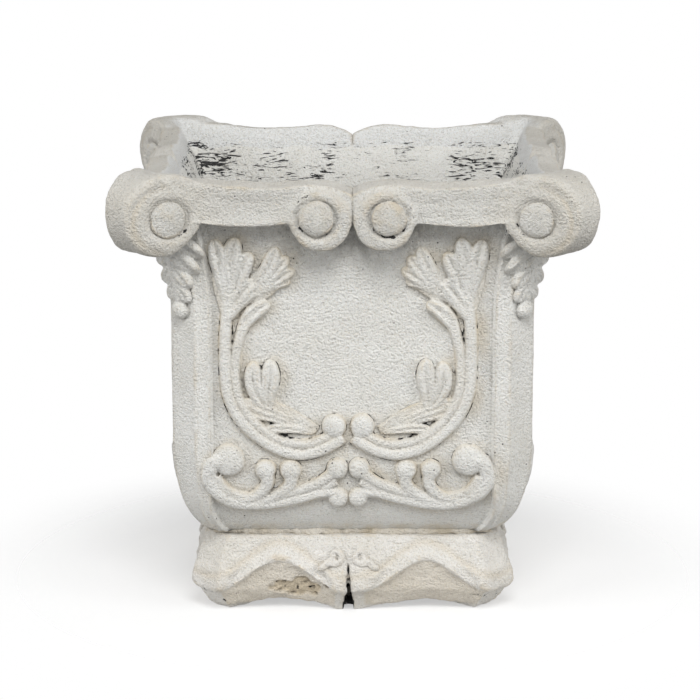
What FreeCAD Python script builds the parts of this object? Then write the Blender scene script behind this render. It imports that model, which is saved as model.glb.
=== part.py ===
"""Square garden planter of cast stone, with a scrolled rim, acanthus panels and a separate scalloped plinth.

The planter stands on z = 0, centred on the z axis, with its front face towards -Y. Lengths are millimetres.
"""
import FreeCAD, Part
import math
import os

import Sketcher
from FreeCAD import Placement, Rotation, Vector
from Part import BRepOffsetAPI

ROOT_TWO = math.sqrt(2)
UP = Vector(0, 0, 1)
FORWARD = Vector(0, -1, 0)
ACROSS = Vector(1, 0, 0)
ALONG = Vector(0, 1, 0)
DIAGONAL = Vector(1, 1, 0)
CORNERWARD = Vector(1, -1, 0).normalize()

DIMENSIONS = {
    # Bowl: half width of its waist, and how far the other levels of its profile lie in or out from there
    "waist_half": 152,
    "toe_tuck": 28,
    "belly_tuck": 6,
    "lip_flare": 13,
    # Heights of those levels, each above the one below it
    "belly_rise": 36,
    "waist_rise": 43,
    "waist_run": 112,
    "flare_rise": 95,
    # Chamfered corners with a border beside each, and the panels sunk between them
    "corner_chamfer": 20.5,
    "border_width": 11.5,
    "panel_recess": 3.5,
    # Planting cavity: walls at each level, and the splay of its mouth
    "floor_thickness": 22,
    "floor_wall": 16,
    "belly_wall": 24,
    "belly_wall_rise": 17,
    "waist_wall": 21,
    "shoulder_wall": 15,
    "shoulder_drop": 27,
    "lip_wall": 16,
    "mouth_splay": 16,
    "drain_radius": 12.5,
    # Mortar bed under the bowl, and the spigot that centres the bowl in the plinth
    "mortar_thickness": 3,
    "mortar_set_back": 4,
    "spigot_depth": 12,
    "spigot_clearance": 1.5,
    # Plinth: its top stands out from the toe of the bowl, and it flares to a nose and tucks in to its feet
    "plinth_height": 68,
    "plinth_step": 3,
    "plinth_nose_flare": 7.5,
    "plinth_nose_height": 31,
    "plinth_nose_half_height": 11,
    "plinth_nose_bulge": 4.4,
    "plinth_foot_tuck": 4,
    "plinth_chamfer": 20,
    "plinth_wall": 35,
    # Two leaning scoops and a cleft between them in each side of the plinth
    "arch_inner_reach": 13,
    "arch_end_margin": 10,
    "arch_crown_height": 50,
    "arch_lean": 26,
    "arch_recess": 17,
    "arch_lift": 5,
    "foot_width": 28,
    "cleft_width": 10,
    "cleft_height": 38,
    "cleft_depth": 13,
    # Rosettes beside the clefts
    "rosette_radius": 10,
    "rosette_reach": 15,
    "rosette_drop": 12,
    "rosette_proud": 4,
    # Rim band: it overhangs the lip of the bowl and laps down over it
    "rim_overhang": 12,
    "band_lap": 8,
    "notch_rise": 16.5,
    "hump_rise": 24,
    "hump_run": 18.8,
    "hump_bulge": 4.3,
    "dip_bulge": 7.4,
    # Rolled scrolls that meet in the middle of each side
    "scroll_radius": 25.5,
    "scroll_gap": 0.7,
    "scroll_drop": 5.5,
    "scroll_proud": 4,
    # Horned volutes at the corners. The splay is in degrees
    "horn_projection": 26,
    "horn_strip_half": 14,
    "horn_radius": 35.5,
    "horn_rise": 0.5,
    "horn_splay": 18,
    # Domed eyes of the scrolls and the groove round each
    "eye_radius": 13.5,
    "eye_rise": 8,
    "eye_offset": 3.5,
    "eye_drop": 3.5,
    "groove_radius": 2.5,
    # Applied acanthus scrolls: the box that their shares follow, and their thicknesses
    "acanthus_margin": 10,
    "acanthus_rise": 33,
    "acanthus_height": 190,
    "acanthus_stem_radius": 8,
    "acanthus_tail_radius": 5,
    "acanthus_ball_radius": 9.8,
    "acanthus_ball_proud": 6,
    "acanthus_lobe_half": 8.5,
    "acanthus_lobe_ridge": 6.5,
    # Applied frieze scrolls under them
    "frieze_margin": 6,
    "frieze_rise": 21,
    "frieze_height": 45,
    "frieze_stem_radius": 5.5,
    "frieze_tail_radius": 3.5,
    "frieze_ball_radius": 13.4,
    "frieze_ball_proud": 4.5,
    "berry_radius": 7.5,
    "berry_proud": 4.5,
    # How far the middle lines of stems and lobes lie in front of what carries them
    "ornament_lift": 1.5,
    # Acanthus drops on the chamfered corners
    "leaf_drop": 95,
    "leaf_length": 74,
    "leaf_half_width": 24,
    "leaf_proud": 14,
    "leaf_rib_half": 9,
    "leaf_lobe_half": 8,
    "leaf_lobe_ridge": 7,
    # One overrun for every cut
    "cut_overrun": 5,
}

doc = FreeCAD.newDocument("ScrollPlanter")
sheet = doc.addObject("Spreadsheet::Sheet", "Dimensions")
for row, (alias, number) in enumerate(DIMENSIONS.items(), start=1):
    sheet.set(f"A{row}", alias)
    sheet.set(f"B{row}", str(number))
    sheet.setAlias(f"B{row}", alias)
doc.recompute()


def size(alias):
    """The number in a cell of the sheet."""
    return float(sheet.get(alias))


class Length:
    """A length that knows its value and the sheet expression that gives it."""

    def __init__(self, value, text):
        self.value = value
        self.text = text

    def __add__(self, other):
        return Length(self.value + other.value, f"({self.text} + {other.text})")

    def __sub__(self, other):
        return Length(self.value - other.value, f"({self.text} - {other.text})")

    def __mul__(self, factor):
        return Length(self.value * factor, f"({self.text} * {factor:.9f})")

    def __neg__(self):
        return Length(-self.value, f"(-{self.text})")


def cell(alias):
    """A cell of the sheet as a length that objects can be bound to."""
    return Length(size(alias), f"Dimensions.{alias}")


def arc_radius(half_chord, bulge):
    """Radius of an arc, given half its chord and how far it bulges from the chord."""
    value = (half_chord.value ** 2 + bulge.value ** 2) / (2 * bulge.value)
    return Length(value, f"(({half_chord.text}^2 + {bulge.text}^2) / (2 * {bulge.text}))")


# Levels that several pieces share, worked out from the sheet

ZERO = Length(0.0, "0")
OVERRUN = cell("cut_overrun")
WAIST_HALF = cell("waist_half")
TOE_HALF = WAIST_HALF - cell("toe_tuck")
BELLY_HALF = WAIST_HALF - cell("belly_tuck")
LIP_HALF = WAIST_HALF + cell("lip_flare")
PANEL_HALF = WAIST_HALF - cell("corner_chamfer") - cell("border_width")
PLINTH_TOP = cell("plinth_height")
BOWL_BASE = PLINTH_TOP + cell("mortar_thickness")
BELLY_HEIGHT = BOWL_BASE + cell("belly_rise")
WAIST_LOW = BELLY_HEIGHT + cell("waist_rise")
WAIST_HIGH = WAIST_LOW + cell("waist_run")
BED_HEIGHT = WAIST_HIGH + cell("flare_rise")
CAVITY_BED_HALF = LIP_HALF - cell("lip_wall")
SHOULDER_HALF = WAIST_HALF - cell("shoulder_wall")
RIM_FACE = LIP_HALF + cell("rim_overhang")
HORN_HEIGHT = BED_HEIGHT + cell("horn_rise")
HORN_TOP = HORN_HEIGHT + cell("horn_radius")
HORN_TIP = (RIM_FACE + cell("horn_projection")) * ROOT_TWO - cell("horn_strip_half")
HORN_AXIS = HORN_TIP - cell("horn_radius")
PLINTH_TOP_HALF = TOE_HALF + cell("plinth_step")
PLINTH_NOSE_HALF = PLINTH_TOP_HALF + cell("plinth_nose_flare")
PLINTH_NOSE_LOW = cell("plinth_nose_height") - cell("plinth_nose_half_height")
PLINTH_NOSE_HIGH = cell("plinth_nose_height") + cell("plinth_nose_half_height")
PLINTH_FOOT_HALF = PLINTH_TOP_HALF - cell("plinth_foot_tuck")
PLINTH_REACH = PLINTH_NOSE_HALF + cell("plinth_nose_bulge") + OVERRUN
PLINTH_HOLLOW_HALF = PLINTH_TOP_HALF - cell("plinth_wall")


def bind(thing, **lengths):
    """Bind properties of an object to the sheet. A double underscore stands for the dot of a path."""
    for path, length in lengths.items():
        thing.setExpression(path.replace("__", "."), length.text)


def bind_place(thing, x=ZERO, y=ZERO, z=ZERO):
    """Bind the place of an object to the sheet."""
    bind(thing, Placement__Base__x=x, Placement__Base__y=y, Placement__Base__z=z)


def upright(turn):
    """Sketch plane through the z axis, turned about it: local x runs across and local y runs up."""
    return Placement(Vector(), Rotation(UP, turn) * Rotation(ACROSS, 90))


def level(turn):
    """Sketch plane on the ground, turned about the z axis."""
    return Placement(Vector(), Rotation(UP, turn))


class Run:
    """A straight edge between two points."""

    def __init__(self, start, end):
        self.ends = (start, end)
        self.shape = Part.LineSegment(start, end)

    def heading_from(self, point):
        """Direction that runs into the edge from one of its ends."""
        start, end = self.ends
        other = end if (point - start).Length < (point - end).Length else start
        return (other - point).normalize()


class Bend:
    """An arc from one point to another, given its heading at the first point."""

    def __init__(self, start, end, heading):
        across = Vector(-heading.y, heading.x, 0)
        chord = end - start
        radius = chord.dot(chord) / (2 * chord.dot(across))
        self.centre = start + across * radius
        spoke = ((start + end) * 0.5 - self.centre).normalize()
        self.middle = self.centre + spoke * abs(radius)
        self.shape = Part.Arc(start, self.middle, end)

    def heading_from(self, point):
        """Direction that runs into the arc from one of its ends."""
        spoke = point - self.centre
        heading = Vector(-spoke.y, spoke.x, 0).normalize()
        return heading if heading.dot(self.middle - point) > 0 else -heading


def bulging(start, end, bulge):
    """An arc between two points that bulges from the chord, to its left where the bulge is positive."""
    chord = end - start
    side = Vector(-chord.y, chord.x, 0).normalize()
    return Part.Arc(start, (start + end) * 0.5 + side * bulge, end)


def half_chord(first, second):
    """Half the distance between two bound points."""
    across, rise = second[0] - first[0], second[1] - first[1]
    value = math.hypot(across.value, rise.value) / 2
    return Length(value, f"(sqrt({across.text}^2 + {rise.text}^2) / 2)")


def draw(name, place, points, smooth=None, bulges=None):
    """Closed sketch through points whose places the sheet gives. Edge i runs from point i to the next.

    smooth maps an edge to the neighbour that it leaves at a tangent. bulges maps an edge to how far its arc
    lies from the chord, positive to the left of it. Every other edge is straight.
    """
    smooth = smooth or {}
    bulges = bulges or {}
    count = len(points)
    corners = [Vector(x.value, y.value, 0) for x, y in points]
    spans = [(corners[i], corners[(i + 1) % count]) for i in range(count)]
    edges = {i: Run(*span) for i, span in enumerate(spans) if i not in smooth}
    for i, bulge in bulges.items():
        edges[i].shape = bulging(*spans[i], bulge.value)
    for i, other in smooth.items():
        start, end = spans[i]
        if other == (i + 1) % count:
            start, end = end, start
        edges[i] = Bend(start, end, -edges[other].heading_from(start))
    sketch = doc.addObject("Sketcher::SketchObject", name)
    sketch.Placement = place
    for i in range(count):
        sketch.addGeometry(edges[i].shape, False)

    def end_at(edge, corner):
        gaps = [(sketch.getPoint(edge, end) - corner).Length for end in (1, 2)]
        return 1 + gaps.index(min(gaps))

    def constrain(kind, *parts, length=None):
        number = sketch.addConstraint(Sketcher.Constraint(kind, *parts))
        if length:
            sketch.setExpression(f"Constraints[{number}]", length.text)

    for i, corner in enumerate(corners):
        before = (i - 1) % count
        spot = (i, end_at(i, corner))
        tangent = smooth.get(i) == before or smooth.get(before) == i
        constrain("Tangent" if tangent else "Coincident", before, end_at(before, corner), *spot)
        for axis, rule, length in zip((-2, -1), ("DistanceX", "DistanceY"), points[i]):
            if length is ZERO:
                constrain("PointOnObject", *spot, axis)
            elif length.value > 0:
                constrain(rule, -1, 1, *spot, length.value, length=length)
            else:
                constrain(rule, *spot, -1, 1, -length.value, length=-length)
    for i, bulge in bulges.items():
        outward = bulge if bulge.value > 0 else -bulge
        radius = arc_radius(half_chord(points[i], points[(i + 1) % count]), outward)
        constrain("Radius", i, radius.value, length=radius)
    return sketch


def extrude(sketch, length, symmetric=True):
    """Solid run of a sketch along its normal, bound to a length."""
    solid = doc.addObject("Part::Extrusion", f"{sketch.Name}_run")
    solid.Base = sketch
    solid.DirMode = "Normal"
    solid.Symmetric = symmetric
    solid.Solid = True
    bind(solid, LengthFwd=length)
    return solid


def combine(kind, name, shapes):
    """MultiFuse or MultiCommon of several objects."""
    result = doc.addObject(f"Part::{kind}", name)
    result.Shapes = shapes
    return result


def cut(name, base, tool):
    """One object cut by another."""
    result = doc.addObject("Part::Cut", name)
    result.Base = base
    result.Tool = tool
    return result


def group(name, pieces):
    """Several separate solids kept as one object."""
    result = doc.addObject("Part::Compound", name)
    result.Links = pieces
    return result


def mirror(source, normal):
    """Mirror image of a cutting tool in an upright plane through the z axis."""
    result = doc.addObject("Part::Mirroring", f"{source.Name}_mirrored")
    result.Source = source
    result.Normal = normal
    return result


def turned(source, turn):
    """Copy of an object, turned about the z axis."""
    result = group(f"{source.Name}_turned", [source])
    result.Placement = level(turn)
    return result


# Every sub-part of the planter, by the name of its node
NODES = {}
# Turn of each side, and the ends that its left and right halves lie towards, seen from outside
SIDES = {"front": (0, "left", "right"), "right": (90, "front", "back"),
         "back": (180, "right", "left"), "left": (270, "back", "front")}
CORNERS = {"front_right": 0, "back_right": 90, "back_left": 180, "front_left": 270}


def four_sides(source):
    """A piece of the front and its copies on the other sides."""
    return [turned(source, turn) for turn, *_ in SIDES.values()]


def place_halves(name, left, right):
    """Nodes for the two halves of the front and for their copies on the other sides."""
    for side, (turn, left_end, right_end) in SIDES.items():
        NODES[f"{name}_{side}_{left_end}"] = turned(left, turn)
        NODES[f"{name}_{side}_{right_end}"] = turned(right, turn)


def place_corners(name, source):
    """Nodes for a piece of the front right corner and for its copies at the other corners."""
    for corner, turn in CORNERS.items():
        NODES[f"{name}_{corner}"] = turned(source, turn)


# Bowl: the same curved profile runs along both axes and both diagonals, and their common part is the bowl

PROFILE = [(TOE_HALF, BOWL_BASE), (BELLY_HALF, BELLY_HEIGHT), (WAIST_HALF, WAIST_LOW),
           (WAIST_HALF, WAIST_HIGH), (LIP_HALF, BED_HEIGHT)]


def both_halves(levels, factor, inset):
    """Points of a closed outline from its half widths, each widened by a factor and then set in."""
    right = [(half * factor - inset, height) for half, height in levels]
    return right + [(-half, height) for half, height in reversed(right)]


def bowl_run(name, turn, factor=1.0, inset=ZERO):
    """Bowl profile run right through the bowl. The waist is straight and the arcs leave it smoothly."""
    smooth = {1: 2, 0: 1, 3: 2, 7: 6, 8: 7, 5: 6}
    sketch = draw(name, upright(turn), both_halves(PROFILE, factor, inset), smooth)
    return extrude(sketch, LIP_HALF * (2 * ROOT_TWO))


def chamfered_block(name, run, chamfer):
    """Common part of a profile along both axes and, widened and set in for the chamfers, both diagonals."""
    inset = chamfer * (1 / ROOT_TWO)
    runs = [run(f"{name}_front", 0), run(f"{name}_side", 90)]
    runs += [run(f"{name}_chamfer_{turn}", turn, ROOT_TWO, inset) for turn in (45, 135)]
    return combine("MultiCommon", f"{name}_outer", runs)


bowl_outer = chamfered_block("bowl", bowl_run, cell("corner_chamfer"))
panel_recesses = []
for side, turn in (("front", 0), ("side", 90)):
    window = bowl_run(f"panel_{side}_window", turn, inset=WAIST_HALF - PANEL_HALF)
    core = bowl_run(f"panel_{side}_core", turn + 90, inset=cell("panel_recess"))
    panel_recesses.append(cut(f"panel_{side}_recess", window, core))


def square_block(name, half, base, height):
    """Square block on the z axis."""
    block = doc.addObject("Part::Box", name)
    bind(block, Length=half * 2, Width=half * 2, Height=height)
    bind_place(block, -half, -half, base)
    return block


spigot = square_block("spigot", PLINTH_HOLLOW_HALF - cell("spigot_clearance"),
                      BOWL_BASE - cell("spigot_depth"), cell("spigot_depth"))


def square_section(name, half, height):
    """Square section of the cavity at a height."""
    sketch = draw(name, level(0), [(half, half), (-half, half), (-half, -half), (half, -half)])
    bind(sketch, Placement__Base__z=height)
    return sketch


mouth_slope = size("mouth_splay") / (HORN_TOP.value - BED_HEIGHT.value)
cavity = doc.addObject("Part::Loft", "planting_cavity")
cavity.Sections = [
    square_section("cavity_floor", TOE_HALF - cell("floor_wall"), BOWL_BASE + cell("floor_thickness")),
    square_section("cavity_belly", WAIST_HALF - cell("belly_wall"), BELLY_HEIGHT + cell("belly_wall_rise")),
    square_section("cavity_waist", WAIST_HALF - cell("waist_wall"), WAIST_HIGH),
    square_section("cavity_shoulder", SHOULDER_HALF, BED_HEIGHT - cell("shoulder_drop")),
    square_section("cavity_bed", CAVITY_BED_HALF, BED_HEIGHT),
    square_section("cavity_mouth", CAVITY_BED_HALF + cell("mouth_splay") + OVERRUN * mouth_slope,
                   HORN_TOP + OVERRUN),
]
cavity.Solid = True
cavity.Ruled = True

drain = doc.addObject("Part::Cylinder", "drain_hole")
bind(drain, Radius=cell("drain_radius"),
     Height=cell("floor_thickness") + cell("spigot_depth") + OVERRUN * 2)
bind_place(drain, z=BOWL_BASE - cell("spigot_depth") - OVERRUN)

bowl_body = combine("MultiFuse", "bowl_solid", [bowl_outer, spigot])
for tool in panel_recesses + [cavity, drain]:
    bowl_body = cut(f"bowl_less_{tool.Name}", bowl_body, tool)
NODES["bowl_body"] = bowl_body

# Mortar bed: a square ring between the two castings

plinth_hollow = square_block("plinth_hollow", PLINTH_HOLLOW_HALF, -OVERRUN, BOWL_BASE + OVERRUN * 2)
mortar = square_block("mortar", TOE_HALF - cell("mortar_set_back"), PLINTH_TOP, cell("mortar_thickness"))
NODES["mortar_bed"] = cut("mortar_ring", mortar, plinth_hollow)

# Plinth: a flared hollow block on the same chamfered plan, with scoops, clefts and feet

PLINTH_PROFILE = [(PLINTH_FOOT_HALF, ZERO), (PLINTH_NOSE_HALF, PLINTH_NOSE_LOW),
                  (PLINTH_NOSE_HALF, PLINTH_NOSE_HIGH), (PLINTH_TOP_HALF, PLINTH_TOP)]


def plinth_run(name, turn, factor=1.0, inset=ZERO):
    """Plinth profile run right through the plinth, with a rounded nose."""
    nose = -cell("plinth_nose_bulge")
    sketch = draw(name, upright(turn), both_halves(PLINTH_PROFILE, factor, inset), bulges={1: nose, 5: nose})
    return extrude(sketch, PLINTH_REACH * (2 * ROOT_TWO))


plinth_outer = chamfered_block("plinth", plinth_run, cell("plinth_chamfer"))

# A scoop is a round cutter that leans forward as it rises, so it leaves the sloping face along an arch
arch_outer_reach = PLINTH_FOOT_HALF - cell("arch_end_margin")
arch_middle = (cell("arch_inner_reach") + arch_outer_reach) * 0.5
arch_half_span = (arch_outer_reach - cell("arch_inner_reach")) * 0.5
scoop_lean = math.atan2(size("arch_lean"), size("arch_crown_height"))
scoop_radius = arc_radius(arch_half_span, cell("arch_recess"))
scoop_length = PLINTH_TOP * 2
scoop_axis = PLINTH_FOOT_HALF - cell("arch_recess") + scoop_radius * (1 / math.cos(scoop_lean))
scoop = doc.addObject("Part::Cylinder", "arch_scoop")
scoop.Placement = Placement(Vector(), Rotation(ACROSS, math.degrees(scoop_lean)))
bind(scoop, Radius=scoop_radius, Height=scoop_length)
bind_place(scoop, arch_middle, scoop_length * (math.sin(scoop_lean) / 2) - scoop_axis,
           scoop_length * (-math.cos(scoop_lean) / 2))

# A low round cutter lifts the bottom edge between the feet, so that water can run out
slot_outer_reach = PLINTH_FOOT_HALF - cell("foot_width")
slot_middle = (cell("arch_inner_reach") + slot_outer_reach) * 0.5
slot_radius = arc_radius((slot_outer_reach - cell("arch_inner_reach")) * 0.5, cell("arch_lift"))
slot = doc.addObject("Part::Cylinder", "arch_slot")
slot.Placement = Placement(Vector(), Rotation(UP, FORWARD))
bind(slot, Radius=slot_radius, Height=PLINTH_REACH - PLINTH_HOLLOW_HALF + OVERRUN)
bind_place(slot, slot_middle, OVERRUN - PLINTH_HOLLOW_HALF, cell("arch_lift") - slot_radius)

cleft_half = cell("cleft_width") * 0.5
cleft_back = PLINTH_FOOT_HALF - cell("cleft_depth")
cleft_sketch = draw("cleft", upright(0),
                    [(-cleft_half, -OVERRUN), (cleft_half, -OVERRUN), (ZERO, cell("cleft_height"))])
bind(cleft_sketch, Placement__Base__y=-cleft_back)
cleft = extrude(cleft_sketch, PLINTH_REACH - cleft_back, symmetric=False)

plinth_cutters = [plinth_hollow]
for tool in (scoop, mirror(scoop, ACROSS), slot, mirror(slot, ACROSS), cleft):
    plinth_cutters += four_sides(tool)
plinth_base = cut("plinth_cut", plinth_outer, combine("MultiFuse", "plinth_cutters", plinth_cutters))
NODES["plinth_base"] = plinth_base

# Rosettes: small bosses on the sloping face of the plinth, beside the clefts

rosette_height = PLINTH_TOP - cell("rosette_drop")
slope_share = size("rosette_drop") / (PLINTH_TOP.value - PLINTH_NOSE_HIGH.value)
rosette_depth = (PLINTH_TOP_HALF + cell("plinth_nose_flare") * slope_share
                 + cell("rosette_proud") - cell("rosette_radius"))
rosettes = []
for reach in (cell("rosette_reach"), -cell("rosette_reach")):
    ball = doc.addObject("Part::Sphere", "rosette_ball")
    bind(ball, Radius=cell("rosette_radius"))
    bind_place(ball, reach, -rosette_depth, rosette_height)
    rosettes += four_sides(cut("rosette", ball, plinth_base))
NODES["plinth_rosettes"] = group("rosette_group", rosettes)

# Rim: the band round one corner, then its two rolled scrolls and the horn

corner_reach = HORN_AXIS * (1 / ROOT_TWO)
band_low = BED_HEIGHT - cell("band_lap")
scroll_reach = cell("scroll_radius") + cell("scroll_gap")
band_points = [
    (ZERO, band_low),
    (RIM_FACE, band_low),
    (RIM_FACE, HORN_TOP),
    (corner_reach, HORN_TOP),
    (scroll_reach + cell("hump_run"), BED_HEIGHT + cell("hump_rise")),
    (ZERO, BED_HEIGHT + cell("notch_rise")),
]
band_bulges = {3: cell("dip_bulge"), 4: -cell("hump_bulge")}
band_runs = []
for side, turn in (("front", 0), ("side", -90)):
    band_sketch = draw(f"band_{side}", upright(turn), band_points, bulges=band_bulges)
    band_runs.append(extrude(band_sketch, RIM_FACE * 2))
corner_cut = corner_reach * 2 - RIM_FACE
plan_points = [(ZERO, ZERO), (ZERO, -RIM_FACE), (corner_cut, -RIM_FACE), (RIM_FACE, -corner_cut),
               (RIM_FACE, ZERO)]
band_plan = extrude(draw("band_plan", level(0), plan_points), HORN_TOP + OVERRUN, symmetric=False)
band = combine("MultiCommon", "rim_band", band_runs + [band_plan])

scroll_face = RIM_FACE + cell("scroll_proud")
centre_roll = doc.addObject("Part::Cylinder", "centre_roll")
centre_roll.Placement = Placement(Vector(), Rotation(UP, FORWARD))
bind(centre_roll, Radius=cell("scroll_radius"), Height=scroll_face - SHOULDER_HALF)
bind_place(centre_roll, scroll_reach, -SHOULDER_HALF, BED_HEIGHT - cell("scroll_drop"))

# The horn is a roll across the corner, narrowed towards its tip by the two splayed faces
splay = math.radians(size("horn_splay"))
horn_axis_half = cell("horn_strip_half") + cell("horn_radius") * math.tan(splay)
horn_root_half = cell("horn_strip_half") + cell("horn_radius") * (2 * math.tan(splay))
horn_root = HORN_AXIS - cell("horn_radius")
horn_points = [(horn_root, -horn_root_half), (HORN_TIP, -cell("horn_strip_half")),
               (HORN_TIP, cell("horn_strip_half")), (horn_root, horn_root_half)]
horn_wedge = extrude(draw("horn_plan", level(-45), horn_points), HORN_TOP + OVERRUN, symmetric=False)
horn_roll = doc.addObject("Part::Cylinder", "horn_roll")
horn_roll.Placement = Placement(Vector(), Rotation(UP, DIAGONAL))
bind(horn_roll, Radius=cell("horn_radius"), Height=horn_root_half * 2)
bind_place(horn_roll, (HORN_AXIS - horn_root_half) * (1 / ROOT_TWO),
           -(HORN_AXIS + horn_root_half) * (1 / ROOT_TWO), HORN_HEIGHT)
horn = combine("MultiCommon", "horn", [horn_roll, horn_wedge])

# Eyes: a domed button on the face of each roll, with a groove round it

eye_sphere = arc_radius(cell("eye_radius"), cell("eye_rise"))
eye_sink = eye_sphere - cell("eye_rise")
eye_height = BED_HEIGHT - cell("eye_drop")
horn_face = CORNERWARD * math.sin(splay) - DIAGONAL.normalize() * math.cos(splay)


def eye(name, normal, x, y):
    """Domed button whose flat back lies on a face at a point."""
    dome = doc.addObject("Part::Sphere", name)
    dome.Placement = Placement(Vector(), Rotation(UP, normal))
    bind(dome, Radius=eye_sphere)
    dome.setExpression("Angle1", f"asin({eye_sink.text} / {eye_sphere.text})")
    bind_place(dome, x - eye_sink * normal.x, y - eye_sink * normal.y, eye_height)
    return dome


def eye_groove(normal, x, y):
    """Round groove in a face, just outside an eye."""
    ring = doc.addObject("Part::Torus", "eye_groove")
    ring.Placement = Placement(Vector(), Rotation(UP, normal))
    bind(ring, Radius1=cell("eye_radius") + cell("groove_radius"), Radius2=cell("groove_radius"))
    bind_place(ring, x, y, eye_height)
    return ring


centre_spot = (scroll_reach + cell("eye_offset"), -scroll_face)
horn_spot = ((HORN_AXIS - horn_axis_half) * (1 / ROOT_TWO), -(HORN_AXIS + horn_axis_half) * (1 / ROOT_TWO))
centre_eyes = []
corner_eyes = []
for hand in (1, -1):
    splayed = Vector(horn_face.x * hand, horn_face.y, 0)
    centre_eyes += four_sides(eye("centre_eye", FORWARD, centre_spot[0] * hand, centre_spot[1]))
    corner_eyes += four_sides(eye("corner_eye", splayed, horn_spot[0] * hand, horn_spot[1]))
NODES["centre_scroll_eyes"] = group("centre_eyes", centre_eyes)
NODES["corner_scroll_eyes"] = group("corner_eyes", corner_eyes)

centre_groove = eye_groove(FORWARD, *centre_spot)
corner_groove = eye_groove(horn_face, *horn_spot)
rim_cutters = [cavity, centre_groove, mirror(centre_groove, DIAGONAL), corner_groove,
               mirror(corner_groove, DIAGONAL), bowl_body]
rim_scroll = combine("MultiFuse", "rim_solid", [band, horn, centre_roll, mirror(centre_roll, DIAGONAL)])
for tool in rim_cutters:
    rim_scroll = cut(f"rim_less_{tool.Name}", rim_scroll, tool)
place_corners("rim_scroll", rim_scroll)

# Applied ornaments: stems, balls and leaf lobes bedded on the panels and corners

doc.recompute()
LOBE_BELLY_SHARE = 0.45


def face_half(height):
    """Half width of the corner border at a height, on the line and arcs of the bowl profile."""
    toe, belly, low, high, lip = [Vector(half.value, z.value, 0) for half, z in PROFILE]
    if height >= high.y:
        bend = Bend(high, lip, ALONG)
        return bend.centre.x - math.sqrt((lip - bend.centre).Length ** 2 - (height - bend.centre.y) ** 2)
    if height >= low.y:
        return low.x
    bend = Bend(low, belly, -ALONG)
    if height < belly.y:
        bend = Bend(belly, toe, -bend.heading_from(belly))
    return bend.centre.x + math.sqrt((belly - bend.centre).Length ** 2 - (height - bend.centre.y) ** 2)


def on_panel(x, z):
    """Middle of a stem or lobe on the front panel, at a width and height."""
    return Vector(x, size("panel_recess") - size("ornament_lift") - face_half(z), z)


def tapered_stem(points, first_radius, last_radius):
    """Round stem along a smooth curve through points, from one radius to another."""
    curve = Part.BSplineCurve()
    curve.interpolate(points)
    pipe = BRepOffsetAPI.MakePipeShell(Part.Wire(curve.toShape()))
    for end, radius in ((curve.FirstParameter, first_radius), (curve.LastParameter, last_radius)):
        ring = Part.makeCircle(radius, curve.value(end), curve.tangent(end)[0])
        pipe.add(Part.Wire(ring))
    pipe.build()
    pipe.makeSolid()
    return pipe.shape()


def button(spot, radius, proud):
    """Cap of a ball bedded in the panel: its top stands proud and its back lies as deep."""
    ball_radius = (radius ** 2 + proud ** 2) / (2 * proud)
    back_angle = math.degrees(math.asin((ball_radius - 2 * proud) / ball_radius))
    return Part.makeSphere(ball_radius, spot - FORWARD * (ball_radius - proud), FORWARD, back_angle, 90, 360)


def lobe(root, tip, half_width, ridge_height, proud):
    """Carved leaf lobe: a pointed kite on the surface below it, with a ridge that stands proud."""
    chord = tip - root
    across = chord.cross(proud).normalize() * half_width
    widest = root + chord * LOBE_BELLY_SHARE
    outline = [root, widest + across, tip, widest - across]
    facets = []
    for side in (1, -1):
        ridge = widest + proud * (side * ridge_height)
        for first, second in zip(outline, outline[1:] + outline[:1]):
            facet = [first, second, ridge] if side > 0 else [second, first, ridge]
            facets.append(Part.Face(Part.makePolygon(facet + facet[:1])))
    solid = Part.Solid(Part.Shell(facets))
    return solid if solid.Volume > 0 else solid.reversed()


def ornament(name, shape):
    """Object that holds an ornament's shape."""
    piece = doc.addObject("Part::Feature", name)
    piece.Shape = shape
    return piece


# Places on the panel are shares of the acanthus box, across from the middle of the side and up from its base
ACANTHUS_STEM_SHARES = [(0.927, 0.642), (0.941, 0.484), (0.936, 0.316), (0.864, 0.163), (0.691, 0.066),
                        (0.473, 0.034), (0.273, 0.05), (0.145, 0.105)]
ACANTHUS_BALL_SHARES = (0.127, 0.153)
# Root, tip and thickness of each lobe: the top plume, the side leaf, the curl, the bud, the inner lobes
ACANTHUS_LOBE_SHARES = [
    ((0.945, 0.62), (1.055, 0.979), 1.0), ((0.909, 0.6), (0.845, 0.995), 1.05),
    ((0.88, 0.6), (0.736, 0.926), 0.9), ((0.955, 0.56), (1.073, 0.821), 0.8),
    ((0.9, 0.58), (0.7, 0.83), 0.75), ((0.79, 0.7), (0.555, 0.958), 0.85),
    ((0.8, 0.69), (0.445, 0.889), 0.85), ((0.8, 0.7), (0.473, 0.805), 0.7),
    ((0.93, 0.54), (0.618, 0.705), 0.75), ((0.77, 0.06), (0.818, 0.432), 0.95),
    ((0.75, 0.05), (0.618, 0.447), 0.95), ((0.68, 0.04), (0.509, 0.25), 0.8),
    ((0.51, 0.02), (0.364, 0.18), 0.7),
]


def acanthus_shape(hand):
    """C-scroll of one half of the front panel, with its ball and leaves. The right half has hand 1."""
    reach = PANEL_HALF.value - size("acanthus_margin")
    base = BELLY_HEIGHT.value + size("acanthus_rise")

    def spot(shares):
        return on_panel(hand * shares[0] * reach, base + shares[1] * size("acanthus_height"))

    stem = tapered_stem([spot(shares) for shares in ACANTHUS_STEM_SHARES],
                        size("acanthus_stem_radius"), size("acanthus_tail_radius"))
    pieces = [button(spot(ACANTHUS_BALL_SHARES), size("acanthus_ball_radius"), size("acanthus_ball_proud"))]
    for root, tip, share in ACANTHUS_LOBE_SHARES:
        pieces.append(lobe(spot(root), spot(tip), share * size("acanthus_lobe_half"),
                           share * size("acanthus_lobe_ridge"), FORWARD))
    return stem.fuse(pieces).cut(bowl_body.Shape)


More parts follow.
